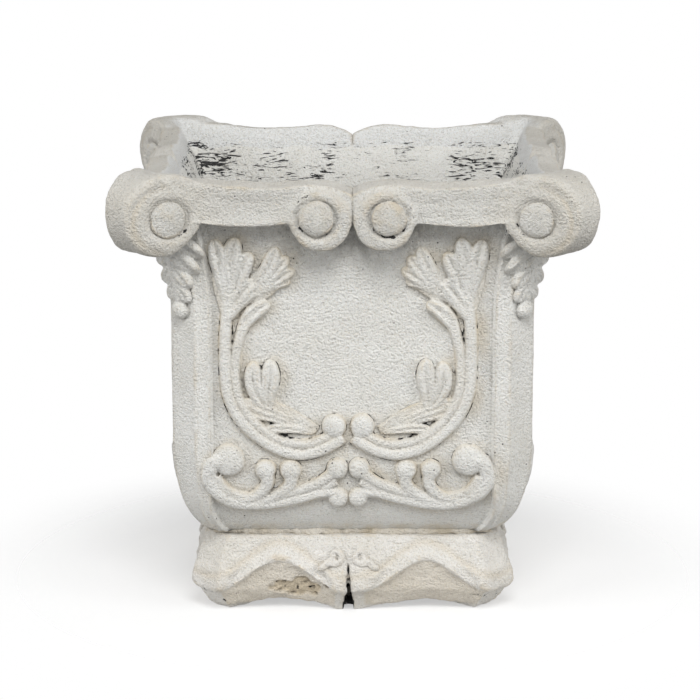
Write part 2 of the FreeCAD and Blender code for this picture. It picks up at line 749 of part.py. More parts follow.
place_halves("acanthus_scroll", ornament("acanthus_left", acanthus_shape(-1)),
             ornament("acanthus_right", acanthus_shape(1)))

FRIEZE_STEM_SHARES = [(0.96, 0.978), (0.968, 0.622), (0.857, 0.267), (0.683, 0.133), (0.46, 0.244),
                      (0.27, 0.4), (0.111, 0.4)]
FRIEZE_TENDRIL_SHARES = [
    [(0.476, 0.267), (0.302, 0.533), (0.143, 0.778)],
    [(0.73, 0.178), (0.651, 0.467), (0.587, 0.822)],
    [(0.571, 0.2), (0.492, 0.511), (0.429, 0.844)],
]
FRIEZE_BALL_SHARES = (0.849, 1.0)
FRIEZE_BERRY_SHARES = [(0.103, 0.822), (0.587, 0.867), (0.429, 0.878), (0.087, 0.356)]


def frieze_shape(hand):
    """Lower scroll of one half of the front panel, with its large ball, tendrils and berries."""
    reach = PANEL_HALF.value + size("frieze_margin")
    base = BOWL_BASE.value + size("frieze_rise")

    def spot(shares):
        return on_panel(hand * shares[0] * reach, base + shares[1] * size("frieze_height"))

    def stem(places):
        return tapered_stem([spot(shares) for shares in places],
                            size("frieze_stem_radius"), size("frieze_tail_radius"))

    pieces = [button(spot(FRIEZE_BALL_SHARES), size("frieze_ball_radius"), size("frieze_ball_proud"))]
    pieces += [stem(places) for places in FRIEZE_TENDRIL_SHARES]
    for shares in FRIEZE_BERRY_SHARES:
        pieces.append(button(spot(shares), size("berry_radius"), size("berry_proud")))
    return stem(FRIEZE_STEM_SHARES).fuse(pieces).cut(bowl_body.Shape)


place_halves("frieze_scroll", ornament("frieze_left", frieze_shape(-1)),
             ornament("frieze_right", frieze_shape(1)))

# Height of each pair of lobes above the leaf tip, and how far it spreads
LEAF_PAIR_SHARES = [(0.1, 0.5), (0.27, 0.75), (0.45, 0.92), (0.63, 1.0)]
LEAF_HANG_SHARE = 0.3
LEAF_CROSS_SHARE = 0.4
LEAF_TIP_PROUD_SHARE = 0.35


def corner_leaf_shape():
    """Acanthus drop of the front right corner: a rib on the diagonal and pairs of lobes that hang from it."""
    tip = BED_HEIGHT.value - size("leaf_drop")
    length, proud = size("leaf_length"), size("leaf_proud")
    flat = size("corner_chamfer") / ROOT_TWO

    def spot(out, side, height):
        corner = ROOT_TWO * face_half(height) - flat - max(0.0, abs(side) - flat)
        out += corner + size("ornament_lift")
        return Vector((out + side) / ROOT_TWO, (side - out) / ROOT_TWO, height)

    rib = lobe(spot(proud, 0.0, tip + length), spot(0.0, 0.0, tip), size("leaf_rib_half"),
               size("leaf_rib_half"), CORNERWARD)
    pieces = []
    for rise, spread in LEAF_PAIR_SHARES:
        for side in (1, -1):
            sideways = side * spread * size("leaf_half_width")
            root = spot(rise * proud, -LEAF_CROSS_SHARE * sideways, tip + (rise + LEAF_HANG_SHARE) * length)
            end = spot(LEAF_TIP_PROUD_SHARE * rise * proud, sideways, tip + rise * length)
            pieces.append(lobe(root, end, size("leaf_lobe_half"), size("leaf_lobe_ridge"), CORNERWARD))
    return rib.fuse(pieces).cut(bowl_body.Shape).cut(horn_roll.Shape)


place_corners("corner_leaf", ornament("corner_leaf", corner_leaf_shape()))

# Check every object, then write each sub-part to its own file

doc.recompute()
for thing in doc.Objects:
    if "Invalid" in thing.State or "Error" in thing.State:
        raise RuntimeError(f"{thing.Name} failed: {thing.State}")
os.makedirs("parts", exist_ok=True)
for name, piece in NODES.items():
    piece.Label = name
    if piece.Shape.isNull() or not piece.Shape.isValid() or piece.Shape.Volume <= 0:
        raise RuntimeError(f"{name} has no valid shape")
for name, piece in NODES.items():
    piece.Shape.exportStep(f"parts/{name}.step")
    print(name, len(piece.Shape.Solids), round(piece.Shape.Volume))
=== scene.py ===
# %% [markdown]
# # A weathered planter of cast stone
# The planter is a square bowl on a plinth, with a scrolled rim and carved leaves, all of cast stone.
# The CAD frame holds every casting at its real size and in its real place. This script gives them their
# looks: worn edges, carving, stains and the grain of old whitewash. It works in metres.

# %% load the frame
import math

import bmesh
import bpy
import numpy as np
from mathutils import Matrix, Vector, kdtree, noise
from mathutils.bvhtree import BVHTree


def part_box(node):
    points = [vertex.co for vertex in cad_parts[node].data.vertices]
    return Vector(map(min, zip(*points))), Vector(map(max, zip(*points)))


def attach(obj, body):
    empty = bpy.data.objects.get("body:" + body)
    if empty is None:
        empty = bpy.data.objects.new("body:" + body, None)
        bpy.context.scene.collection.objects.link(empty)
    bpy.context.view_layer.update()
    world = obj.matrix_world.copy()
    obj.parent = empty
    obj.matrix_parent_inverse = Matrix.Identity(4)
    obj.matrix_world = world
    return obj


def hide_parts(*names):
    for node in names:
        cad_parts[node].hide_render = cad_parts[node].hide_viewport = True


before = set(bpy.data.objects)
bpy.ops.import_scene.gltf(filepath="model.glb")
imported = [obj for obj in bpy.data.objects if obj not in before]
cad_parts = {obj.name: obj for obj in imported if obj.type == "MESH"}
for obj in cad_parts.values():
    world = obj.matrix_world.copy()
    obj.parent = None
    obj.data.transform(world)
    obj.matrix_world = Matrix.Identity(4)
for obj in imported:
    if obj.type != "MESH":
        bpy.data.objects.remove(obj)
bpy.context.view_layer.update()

MM = 0.001


def mm(*lengths):
    """Lengths in metres, from millimetres."""
    return tuple(length * MM for length in lengths)


print("nodes in the frame:", len(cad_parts))

# %% [markdown]
# ## Sizes from the frame
# The looks have to sit closely on the castings. Their sizes could be typed in again, but then they
# would part from the CAD model when it changes. So heights and half widths are measured on the
# castings, by their boxes and by rays cast at the bowl. Only a few small sizes are typed in.

# %% sizes
bowl_low, bowl_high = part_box("bowl_body")
mortar_low, mortar_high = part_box("mortar_bed")
BED_HEIGHT = bowl_high.z
BOWL_BASE = mortar_high.z
PLINTH_TOP = mortar_low.z
RIM_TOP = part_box("rim_scroll_front_right")[1].z
CHAMFER, BORDER, PANEL_RECESS = mm(20.5, 12.4, 3.5)
FLOOR_THICKNESS, SPIGOT_HALF, DRAIN_RADIUS = mm(22, 90.5, 12.5)
ROOT_TWO = math.sqrt(2)
OUTSIDE = 1.0
FRONT = np.array((0.0, -1.0, 0.0))
CORNERWARD = np.array((1.0, -1.0, 0.0)) / ROOT_TWO
LEVEL_COUNT, LEVEL_MARGIN = 120, 0.1 * MM


def tree_of(node):
    """Search tree of a CAD node, for casting rays at it."""
    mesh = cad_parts[node].data
    return BVHTree.FromPolygons([v.co for v in mesh.vertices], [p.vertices for p in mesh.polygons])


bowl_tree = tree_of("bowl_body")


def outer_half(z):
    """Half width of the bowl at a height, from the distance of its chamfered corner."""
    start = Vector((OUTSIDE, -OUTSIDE, z))
    hit = bowl_tree.ray_cast(start, Vector((-1, 1, 0)).normalized())[0]
    return (math.hypot(hit.x, hit.y) + CHAMFER / ROOT_TWO) / ROOT_TWO


def inner_half(z):
    """Half width of the planting cavity at a height."""
    return bowl_tree.ray_cast(Vector((0, 0, z)), Vector((1, 0, 0)))[0].x


level_heights = np.linspace(BOWL_BASE + LEVEL_MARGIN, BED_HEIGHT - LEVEL_MARGIN, LEVEL_COUNT)
level_halves = np.array([outer_half(z) for z in level_heights])


def face_half(z):
    """Half width of the bowl at one height or at many."""
    return np.interp(z, level_heights, level_halves)


print("bowl half widths in mm:", np.round(level_halves[::30] / MM, 1))

# %% [markdown]
# ## Small tools
# Old cast stone has no quite straight edge and no quite even face. Sculpting that by hand could not be
# repeated, so a piece is held as an array of points until it is finished. Its points are drawn towards
# their neighbours and moved along their normals with noise, which gives the same result each time.

# %% mesh tools
WEATHER_SEED = Vector((3.7, 1.9, 8.3))
AVERAGE_SHARE = 0.5
MERGE_DISTANCE = 0.001 * MM


def read(items, name, width, kind=float):
    """Values of the items of a mesh, as rows of an array."""
    values = np.empty(len(items) * width, kind)
    items.foreach_get(name, values)
    return values.reshape(-1, width)


def mesh_arrays(mesh):
    """Points, edges and normals of a mesh as arrays."""
    return (read(mesh.vertices, "co", 3), read(mesh.edges, "vertices", 2, int),
            read(mesh.vertex_normals, "vector", 3))


def set_points(mesh, points):
    """Write points back into a mesh."""
    mesh.vertices.foreach_set("co", np.asarray(points, float).ravel())
    mesh.update()


def averaged(values, edges, rounds):
    """Values of the points, each drawn towards the mean of its neighbours a few times."""
    values = np.array(values, float)
    count = np.bincount(edges.ravel(), minlength=len(values)).astype(float)
    count[count == 0] = 1
    for _ in range(rounds):
        total = np.zeros_like(values)
        for a, b in (edges.T, edges.T[::-1]):
            for axis in range(values.shape[1]):
                total[:, axis] += np.bincount(a, weights=values[b, axis], minlength=len(values))
        values += AVERAGE_SHARE * (total / count[:, None] - values)
    return values


def rough(points, *octaves):
    """Noise at each point: every octave is a grain size in millimetres and a height."""
    heights = np.zeros(len(points))
    for grain, height in octaves:
        scaled = points / (grain * MM)
        heights += height * np.array([noise.noise(Vector(p) + WEATHER_SEED) for p in scaled])
    return heights


def weather(mesh, *octaves):
    """Move the points of a mesh along their normals with noise, all in millimetres."""
    points, _, normals = mesh_arrays(mesh)
    heights = rough(points, *[(grain, height * MM) for grain, height in octaves])
    set_points(mesh, points + normals * heights[:, None])


def new_object(name, data):
    """New object of some data, in the scene."""
    item = bpy.data.objects.new(name, data)
    bpy.context.scene.collection.objects.link(item)
    return item


def modified(data, kind, inputs=(), **settings):
    """Mesh that a modifier makes of a mesh or curve. Inputs are those of a node group."""
    holder = new_object("holder", data)
    modifier = holder.modifiers.new("change", kind)
    for setting, value in settings.items():
        setattr(modifier, setting, value)
    for identifier, value in inputs:
        modifier[identifier] = value
    graph = bpy.context.evaluated_depsgraph_get()
    mesh = bpy.data.meshes.new_from_object(holder.evaluated_get(graph))
    bpy.data.objects.remove(holder)
    return mesh


def remeshed(mesh, voxel, smooth_rounds):
    """Mesh fused into one even skin of small squares, with its edges softened."""
    result = modified(mesh, "REMESH", mode="VOXEL", voxel_size=voxel)
    points, edges, _ = mesh_arrays(result)
    set_points(result, averaged(points, edges, smooth_rounds))
    return result


def cad_copy(node):
    """Copy of a CAD mesh with its doubled points merged."""
    merged = bmesh.new()
    merged.from_mesh(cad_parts[node].data)
    bmesh.ops.remove_doubles(merged, verts=merged.verts, dist=MERGE_DISTANCE)
    mesh = bpy.data.meshes.new(node)
    merged.to_mesh(mesh)
    merged.free()
    return mesh


def spun(points, c, s):
    """Points turned about the upright axis, by the cosine and sine of an angle."""
    x, y, z = points.T
    return np.column_stack((c * x - s * y, s * x + c * y, z))


def turned(mesh, turn, mirrored=False, shift=0.0):
    """Copy of a mesh, mirrored across x = 0 if asked, shifted along x and turned by degrees."""
    copy = mesh.copy()
    points = mesh_arrays(copy)[0]
    if mirrored:
        points[:, 0] *= -1
        copy.flip_normals()
    points[:, 0] += shift
    set_points(copy, spun(points, math.cos(math.radians(turn)), math.sin(math.radians(turn))))
    return copy


def add_values(mesh, name, values):
    """Give each point of a mesh a named value for the materials."""
    mesh.attributes.new(name, "FLOAT", "POINT").data.foreach_set("value", np.asarray(values, np.float32))


# %% [markdown]
# The carving is made of round bumps and soft steps. They could be modelled with edges and bevels, but a
# formula over the points of a fine mesh lets them fade out anywhere. The planter is alike on its four
# sides, so a point is mostly told by its way along its side, its way out from the middle and its
# height.

# %% shape tools
def bead(distance, height, width):
    """Round bump over a distance from its middle line."""
    return height * np.exp(-(distance / width) ** 2)


def step(value, low, high):
    """Smooth rise from 0 to 1 between two values."""
    t = np.clip((value - low) / (high - low), 0, 1)
    return t * t * (3 - 2 * t)


def step_mm(value, low, high):
    """Smooth rise from 0 to 1 between two values in millimetres."""
    return step(value, low * MM, high * MM)


def between(value, start, full, fade, end):
    """Smooth rise from 0 to 1 and fall back to 0."""
    return step(value, start, full) * (1 - step(value, fade, end))


def along_side(points):
    """Way of each point along its side, from the middle of that side."""
    return np.abs(points[:, :2]).min(1)


def reach_of(points):
    """Way of each point out from the middle of the planter towards its side."""
    return np.abs(points[:, :2]).max(1)


def outwardness(points, normals):
    """How far each normal points away from the upright axis, times the distance from it."""
    return (normals * points * (1, 1, 0)).sum(1)


# %% [markdown]
# Dirt and painted shade sit in hollows, and edges are worn bare. The pointiness that Cycles works out
# could find such places, but its strength can't be set in millimetres. So the relief of each point is
# measured against a smoothed copy of its piece and stored on the mesh, where the materials read it.

# %% finished pieces
RELIEF_ROUNDS, RELIEF_LIMIT = 14, 1.5
RELIEF_FULL, CARVED_FULL, BOWL_FULL = mm(0.9, 0.5, 1.8)
pieces = []


def finish_piece(name, mesh, material, slot, *nodes, full=RELIEF_FULL):
    """Finished object of a mesh: smooth, with its relief, standing for CAD nodes."""
    points, edges, normals = mesh_arrays(mesh)
    height = ((points - averaged(points, edges, RELIEF_ROUNDS)) * normals).sum(1) / full
    height = averaged(np.clip(height, -RELIEF_LIMIT, RELIEF_LIMIT)[:, None], edges, 1)[:, 0]
    add_values(mesh, "relief", height)
    mesh.polygons.foreach_set("use_smooth", np.ones(len(mesh.polygons), bool))
    mesh.materials.clear()
    mesh.materials.append(material)
    piece = new_object(name, mesh)
    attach(piece, "root")
    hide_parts(*nodes)
    pieces.append(piece)


# %% [markdown]
# ## Cast stone
# The castings are cement and sand, poured into moulds and whitewashed. An image of stone could be laid
# on them, but noise over Object coordinates needs no image and no unwrapping, and has no seams. One
# function makes the material of every casting, with a cooler wash for the bowl and a warmer one for the
# plinth.

# %% material tools
def colour(hex_code):
    """Linear colour of an sRGB hex code."""
    channels = [int(hex_code[i:i + 2], 16) / 255 for i in (1, 3, 5)]
    return [c / 12.92 if c <= 0.04045 else ((c + 0.055) / 1.055) ** 2.4 for c in channels] + [1.0]


def add_node(tree, kind, inputs=None, **settings):
    """New node with its settings, and with inputs that are values or sockets of other nodes."""
    node = tree.nodes.new(kind)
    for setting, value in settings.items():
        setattr(node, setting, value)
    for socket, value in (inputs or {}).items():
        if isinstance(value, bpy.types.NodeSocket):
            tree.links.new(value, node.inputs[socket])
        else:
            node.inputs[socket].default_value = value
    return node


def made(tree, kind, inputs=None, **settings):
    """First output of a new node."""
    return add_node(tree, kind, inputs, **settings).outputs[0]


# %% [markdown]
# To the eye such stone is dull and stippled, so it is very rough and hardly shines. Hollows hold grey
# dirt and painted shade, worn edges show the tan stone under the whitewash, and air bubbles left
# pinholes. The size of each pattern is in millimetres, and the grain is coarser than real sand, so that
# it shows. Values painted on the points say where the wash is torn, streaked, warm or pale, and where
# shade is painted: under the rim, in the scoops, at the foot of the carving and under the eyes.

# %% cast stone
GRAIN, FINE_GRAIN = mm(2.0, 0.9)
BLOTCH, STAIN, PATCH, PINHOLE = mm(38, 16, 6, 9)
STREAK_LONG, STREAK_TALL = mm(15, 2.9)
CLOUDS = {"wash": (BLOTCH, 5.0, 0.3, 0.7), "pinholes": (BLOTCH, 2.0, 0.5, 0.62),
          "grain": (GRAIN, 4.0, 0.3, 0.7), "fine": (FINE_GRAIN, 2.0, 0.3, 0.7),
          "worn": (STAIN, 4.0, 0.38, 0.66), "hollow": (STAIN, 3.0, 0.3, 0.6),
          "torn": (PATCH, 4.0, 0.25, 0.75), "painted_shade": (PATCH, 5.0, 0.3, 0.7)}
PAINTED = "relief", "tear_and_shade", "warm", "streak", "painted_shade", "pale"
PALE_WASH = "#E3E4E3"
# The darkest tone and its share serve both torn wash and painted shade.
HOLE_TONE, TORN_AND_SHADE_TONE = "#2B2925", "#1E1E20"
FINE_STAIN, GRAIN_DIRT, WORN_STAIN, HOLLOW_DIRT_AND_SHADE, TORN_AND_SHADE_DARK = 0.4, 0.25, 0.5, 0.8, 0.96
STREAK_SHARE, FINE_SHARE = 0.5, 0.4
STONE_ROUGHNESS, STONE_SHINE = 0.92, 0.2


def cast_stone(name, wash, shade, stain, dirt_and_shade, stipple):
    """Whitewashed cast stone: a wash over a shade, tan worn edges, dirt and painted shade in hollows, and
    stipple.
    """
    material = bpy.data.materials.new(name)
    material.use_nodes = True
    tree = material.node_tree
    surface = tree.nodes["Principled BSDF"]
    place = add_node(tree, "ShaderNodeTexCoord").outputs["Object"]
    painted, clouds, masks = {}, {}, {}
    for value in PAINTED:
        painted[value] = add_node(tree, "ShaderNodeAttribute", attribute_name=value).outputs["Fac"]
    for pattern, (size, detail, low, high) in CLOUDS.items():
        texture = {"Vector": place, "Scale": 1 / size, "Detail": detail}
        texture = add_node(tree, "ShaderNodeTexNoise", texture).outputs["Fac"]
        span = {"Value": texture, "From Min": low, "From Max": high}
        clouds[pattern] = made(tree, "ShaderNodeMapRange", span)
    squeeze = (1 / STREAK_LONG, 1 / STREAK_LONG, 1 / STREAK_TALL)
    squeezed = made(tree, "ShaderNodeVectorMath", {0: place, 1: squeeze}, operation="MULTIPLY")
    wisps = {"Vector": squeezed, "Scale": 1.0, "Detail": 6.0, "Distortion": 1.8}
    wisps = add_node(tree, "ShaderNodeTexNoise", wisps).outputs["Fac"]
    zone = made(tree, "ShaderNodeMath", {0: painted["streak"], 1: STREAK_SHARE}, operation="MULTIPLY")
    streaks = made(tree, "ShaderNodeMath", {0: wisps, 1: zone}, operation="ADD")
    tears_and_shade = made(tree, "ShaderNodeMath", {0: painted["tear_and_shade"], 1: clouds["torn"]}, operation="ADD")
    cells = add_node(tree, "ShaderNodeTexVoronoi", {"Vector": place, "Scale": 1 / PINHOLE})
    ramps = {"worn": (painted["relief"], 0.2, 1.1), "hollow": (painted["relief"], -0.35, -1.1),
             "fine": (clouds["fine"], 0.5, 0.0), "grain": (clouds["grain"], 0.35, 0.0),
             "torn": (tears_and_shade, 1.02, 1.22), "streak": (streaks, 1.03, 1.08),
             "pinholes": (cells.outputs["Distance"], 0.1, 0.05)}
    for mask, (value, low, high) in ramps.items():
        span = {"Value": value, "From Min": low, "From Max": high}
        masks[mask] = made(tree, "ShaderNodeMapRange", span, interpolation_type="SMOOTHSTEP")
    for mask in ("worn", "hollow", "pinholes"):
        masks[mask] = made(tree, "ShaderNodeMath", {0: masks[mask], 1: clouds[mask]}, operation="MULTIPLY")
    torn = made(tree, "ShaderNodeMath", {0: masks["torn"], 1: masks["streak"]}, operation="MAXIMUM")
    # The hollow layer is dirt and painted shade, the layer under the rim and in the scoops is painted shade,
    # and the darkest layer is torn wash and painted shade.
    layers = [(clouds["wash"], 1.0, shade), (painted["pale"], 1.0, PALE_WASH), (painted["warm"], 1.0, stain),
              (masks["fine"], FINE_STAIN, stain), (masks["grain"], GRAIN_DIRT, dirt_and_shade),
              (masks["worn"], WORN_STAIN, stain), (masks["hollow"], HOLLOW_DIRT_AND_SHADE, dirt_and_shade),
              (painted["painted_shade"], clouds["painted_shade"], dirt_and_shade), (masks["pinholes"], 1.0, HOLE_TONE),
              (torn, TORN_AND_SHADE_DARK, TORN_AND_SHADE_TONE)]
    tone = colour(wash)
    for mask, share, paint in layers:
        factor = made(tree, "ShaderNodeMath", {0: mask, 1: share}, operation="MULTIPLY")
        sockets = {"Factor": factor, 6: tone, 7: colour(paint)}
        tone = add_node(tree, "ShaderNodeMix", sockets, data_type="RGBA").outputs[2]
    tree.links.new(tone, surface.inputs["Base Color"])
    surface.inputs["Roughness"].default_value = STONE_ROUGHNESS
    surface.inputs["Specular IOR Level"].default_value = STONE_SHINE
    height = made(tree, "ShaderNodeMath", {0: clouds["fine"], 1: FINE_SHARE}, operation="MULTIPLY")
    height = made(tree, "ShaderNodeMath", {0: clouds["grain"], 1: height}, operation="ADD")
    height = made(tree, "ShaderNodeMath", {0: height, 1: torn}, operation="SUBTRACT")
    bump = add_node(tree, "ShaderNodeBump", {"Height": height, "Distance": stipple, "Strength": 1.0})
    tree.links.new(bump.outputs["Normal"], surface.inputs["Normal"])
    return material


bowl_stone = cast_stone("whitewashed cast stone", "#E8E8E5", "#DEDDD8", "#CDBD9F", "#625C52", 1.2 * MM)
# The rim's wash is darker than the bowl's: partly weathering, partly painted shade on its band.
rim_stone = cast_stone("weathered and shaded cast stone", "#D8D8D5", "#CCCBC6", "#C6B596", "#6E685E", 1.3 * MM)
plinth_stone = cast_stone("warm cast stone", "#E4E2DE", "#DAD7D0", "#CBB998", "#776E62", 1.15 * MM)
mortar_stone = cast_stone("lime mortar", "#E4DFD5", "#D2CBBE", "#B5A688", "#4A443B", 1.2 * MM)
print("materials:", [m.name for m in (bowl_stone, rim_stone, plinth_stone, mortar_stone)])

# %% [markdown]
# ## Bowl
# The bowl has a sunk panel on each side, between corner borders that are edged by two thin beads and
# narrow towards the seam with the plinth. Its CAD mesh could be softened, but its large triangles have
# no points for beads and stains. So the bowl is built anew from rings of points that follow its
# measured widths.

# %% bowl rings
OUTER_BEAD, INNER_BEAD = mm(1.1, 1.7)
BEAD_WIDTH, BEAD_SET_IN, PANEL_EDGE = mm(2.0, 0.6, 3.6)
RIDGE_CHAMFER, BORDER_ZONE, CORNER_ROUND = mm(19.3, 17, 5)
NARROW_SHARE, NARROW_TOP = 0.5, 135 * MM
PANEL_COLUMNS, BORDER_COLUMNS, CHAMFER_COLUMNS = 70, 13, 8


def four_sides(side):
    """Ring of points from those of its front side."""
    return np.concatenate([spun(side, c, s) for c, s in ((1, 0), (0, 1), (-1, 0), (0, -1))])


def outer_ring(z):
    """Outer ring of the bowl at a height, with beads and sunk panels."""
    half = float(face_half(z))
    narrow = NARROW_SHARE + (1 - NARROW_SHARE) * float(step(z, BOWL_BASE, NARROW_TOP))
    chamfer, edge = RIDGE_CHAMFER * narrow, BORDER * narrow
    flat = half - chamfer
    border = np.linspace(flat, flat - BORDER_ZONE, BORDER_COLUMNS)
    panel = np.linspace(flat - BORDER_ZONE, BORDER_ZONE - flat, PANEL_COLUMNS + 2)[1:-1]
    x = np.concatenate((border, panel, -border[::-1]))[::-1]
    inset = flat - np.abs(x)
    out = half + bead(inset - BEAD_SET_IN, OUTER_BEAD, BEAD_WIDTH)
    out += bead(inset - edge, INNER_BEAD, BEAD_WIDTH)
    out -= PANEL_RECESS * step(inset, edge, edge + PANEL_EDGE)
    share = np.linspace(0, 1, CHAMFER_COLUMNS + 2)[1:-1]
    corner = np.column_stack((flat + share * chamfer, -half + share * chamfer, np.full(len(share), z)))
    return four_sides(np.vstack((np.column_stack((x, -out, np.full(len(x), z))), corner)))


def square_ring(half, z):
    """Plain ring of the same number of points, square with rounded corners."""
    columns = PANEL_COLUMNS + 2 * BORDER_COLUMNS
    x = np.linspace(CORNER_ROUND - half, half - CORNER_ROUND, columns)
    angle = np.linspace(-math.pi / 2, 0, CHAMFER_COLUMNS + 2)[1:-1]
    middle = half - CORNER_ROUND
    corner = np.column_stack((middle + CORNER_ROUND * np.cos(angle), -middle + CORNER_ROUND * np.sin(angle),
                              np.full(len(angle), z)))
    straight = np.column_stack((x, np.full(columns, -half), np.full(columns, z)))
    return four_sides(np.vstack((straight, corner)))


def round_ring(radius, z):
    """Round ring whose points lie in the directions of those of a square one."""
    ring = square_ring(1.0, z)
    ring[:, :2] *= radius / np.hypot(ring[:, 0], ring[:, 1])[:, None]
    return ring


def grid_mesh(name, rings):
    """Closed mesh of rings, each joined to the next and the last to the first."""
    count, width = len(rings), len(rings[0])
    index = np.arange(count * width).reshape(count, width)
    after, beside = np.roll(index, -1, 0), np.roll(index, -1, 1)
    both = np.roll(after, -1, 1)
    faces = np.stack((index, after, both, beside), -1).reshape(-1, 4)
    mesh = bpy.data.meshes.new(name)
    mesh.from_pydata(np.concatenate(rings).tolist(), [], faces.tolist())
    mesh.update()
    return mesh


# %% [markdown]
# The rings start at the drain hole, run over the floor, up the inside, over the bed joint, down the
# outside and back under the floor, so the wall is a real one and the mesh is closed. Inside the mouth a
# skin of wash laps onto the rim. It could be a piece of its own, but as more rings of the bowl it has
# no seam.

# %% bowl
OUTER_LEVELS, DEEP_LEVELS, UPPER_LEVELS, SKIN_LEVELS = 112, 40, 48, 12
UPPER_START = 300 * MM
SKIN_RISE, SKIN_PROUD = mm(12, 1.8)
SKIN_OVER, SKIN_FLARE, SKIN_BACK = mm(0.5, 2, 8)
RIM_PROBE = 60 * MM
BED_GAP, FLOOR_GAP = mm(0.2, 0.5)
FLOOR_SHARES = (0.3, 0.5, 0.7, 0.9)
BOWL_WEATHER = (30, 0.7), (9, 0.22), (4.5, 0.12)
rim_tree = tree_of("rim_scroll_front_right")
rim_inside = -rim_tree.ray_cast(Vector((RIM_PROBE, 0, BED_HEIGHT + SKIN_RISE)), Vector((0, -1, 0)))[0].y
floor_height = BOWL_BASE + FLOOR_THICKNESS
wall_top = BED_HEIGHT - BED_GAP
deep_heights = np.linspace(floor_height + FLOOR_GAP, UPPER_START, DEEP_LEVELS, endpoint=False)
inner_heights = np.concatenate((deep_heights, np.linspace(UPPER_START, wall_top, UPPER_LEVELS)))
outer_heights = np.linspace(wall_top, BOWL_BASE + BED_GAP, OUTER_LEVELS)
floor_half = inner_half(inner_heights[0])
wall_halves = [inner_half(z) - SKIN_PROUD * step(z, UPPER_START, wall_top) for z in inner_heights]
rings = [round_ring(DRAIN_RADIUS, floor_height)]
rings += [square_ring(floor_half * share, floor_height) for share in FLOOR_SHARES]
rings += [square_ring(half, z) for half, z in zip(wall_halves, inner_heights)]
for share in np.linspace(0, 1, SKIN_LEVELS + 1)[1:]:
    half = wall_halves[-1] + (rim_inside + SKIN_OVER - wall_halves[-1]) * share
    rings.append(square_ring(half + SKIN_FLARE * share ** 4, wall_top + SKIN_RISE * share))
rings.append(square_ring(rim_inside + SKIN_BACK, wall_top + SKIN_RISE))
rings += [outer_ring(z) for z in outer_heights]
rings += [square_ring(SPIGOT_HALF, BOWL_BASE), square_ring(SPIGOT_HALF, bowl_low.z),
          square_ring(SPIGOT_HALF / 2, bowl_low.z), round_ring(DRAIN_RADIUS, bowl_low.z)]
bowl_mesh = grid_mesh("bowl", rings)
weather(bowl_mesh, *BOWL_WEATHER)
print("rim stands", round(rim_inside / MM, 1), "mm inside, and the bowl", round(wall_halves[-1] / MM, 1))

# %% [markdown]
# The wash inside the mouth is torn into streaks, most of all in the corners. The outside gets painted
# shade under the rim, most of all below the centre scrolls. Such marks could be painted on an image, but
# shares worked out from the place of each point need no unwrapping and follow the shape.

# %% stains of the bowl
TEAR_LOW, TEAR_HIGH = mm(322, 376)
SHADE_LOW = 296 * MM
TEAR_FADE_LOW, TEAR_FADE_HIGH = mm(12, 10)
TEAR_FLAT, TEAR_CORNER = 0.81, 0.19
CORNER_START, CORNER_FULL = mm(76, 126)
TEAR_PATCHES = (27, 0.36), (10, 0.12)
SHADE_SHARE, SHADE_EASE, SHADE_EDGE = 0.75, 0.6, 4 * MM
SHADE_NEAR, SHADE_FAR = mm(50, 70)


def torn(points):
    """Where the wash inside the mouth is torn into streaks: below the rim, and most in the corners."""
    corner = step(along_side(points), CORNER_START, CORNER_FULL)
    window = between(points[:, 2], TEAR_LOW, TEAR_LOW + TEAR_FADE_LOW, TEAR_HIGH - TEAR_FADE_HIGH, TEAR_HIGH)
    return window * (TEAR_FLAT + TEAR_CORNER * corner + rough(points, *TEAR_PATCHES))


points, _, normals = mesh_arrays(bowl_mesh)
inside = outwardness(points, normals) < 0
add_values(bowl_mesh, "streak", torn(points) * inside)
# Painted shade on the outside under the rim, strongest below the centre scrolls.
under_rim = step(points[:, 2], SHADE_LOW, BED_HEIGHT - SHADE_EDGE) * ~inside
eased = 1 - SHADE_EASE * step(along_side(points), SHADE_NEAR, SHADE_FAR)
add_values(bowl_mesh, "painted_shade", SHADE_SHARE * under_rim * eased)
finish_piece("bowl", bowl_mesh, bowl_stone, "bowl_stone", "bowl_body", full=BOWL_FULL)
print("bowl faces:", len(bowl_mesh.polygons))

# %% [markdown]
# ## Carved strokes
# Stems, leaves and tendrils look like strokes of a carver's gouge. They could be sculpted or extruded,
# but each is a path with a width. So each is a curve laid on the stone, and one node group sweeps a
# profile along it: a plain bead for stems, a lobe with a vein for leaves, and flat ones for what lies
# under them.

# %% node group for strokes
LEAF_WIDTHS = [(0.0, 0.45), (0.25, 0.75), (0.58, 1.0), (0.82, 0.88), (0.95, 0.56), (1.0, 0.2)]
STROKE_STEP = 1.6 * MM


def new_group(name, **kinds):
    """Geometry node group that takes a geometry and named kinds of values, and what it is given."""
    group = bpy.data.node_groups.new(name, "GeometryNodeTree")
    for socket, kind in (("Geometry", "Geometry"), *kinds.items()):
        group.interface.new_socket(socket, in_out="INPUT", socket_type="NodeSocket" + kind)
    group.interface.new_socket("Geometry", in_out="OUTPUT", socket_type="NodeSocketGeometry")
    return group, group.nodes.new("NodeGroupInput").outputs


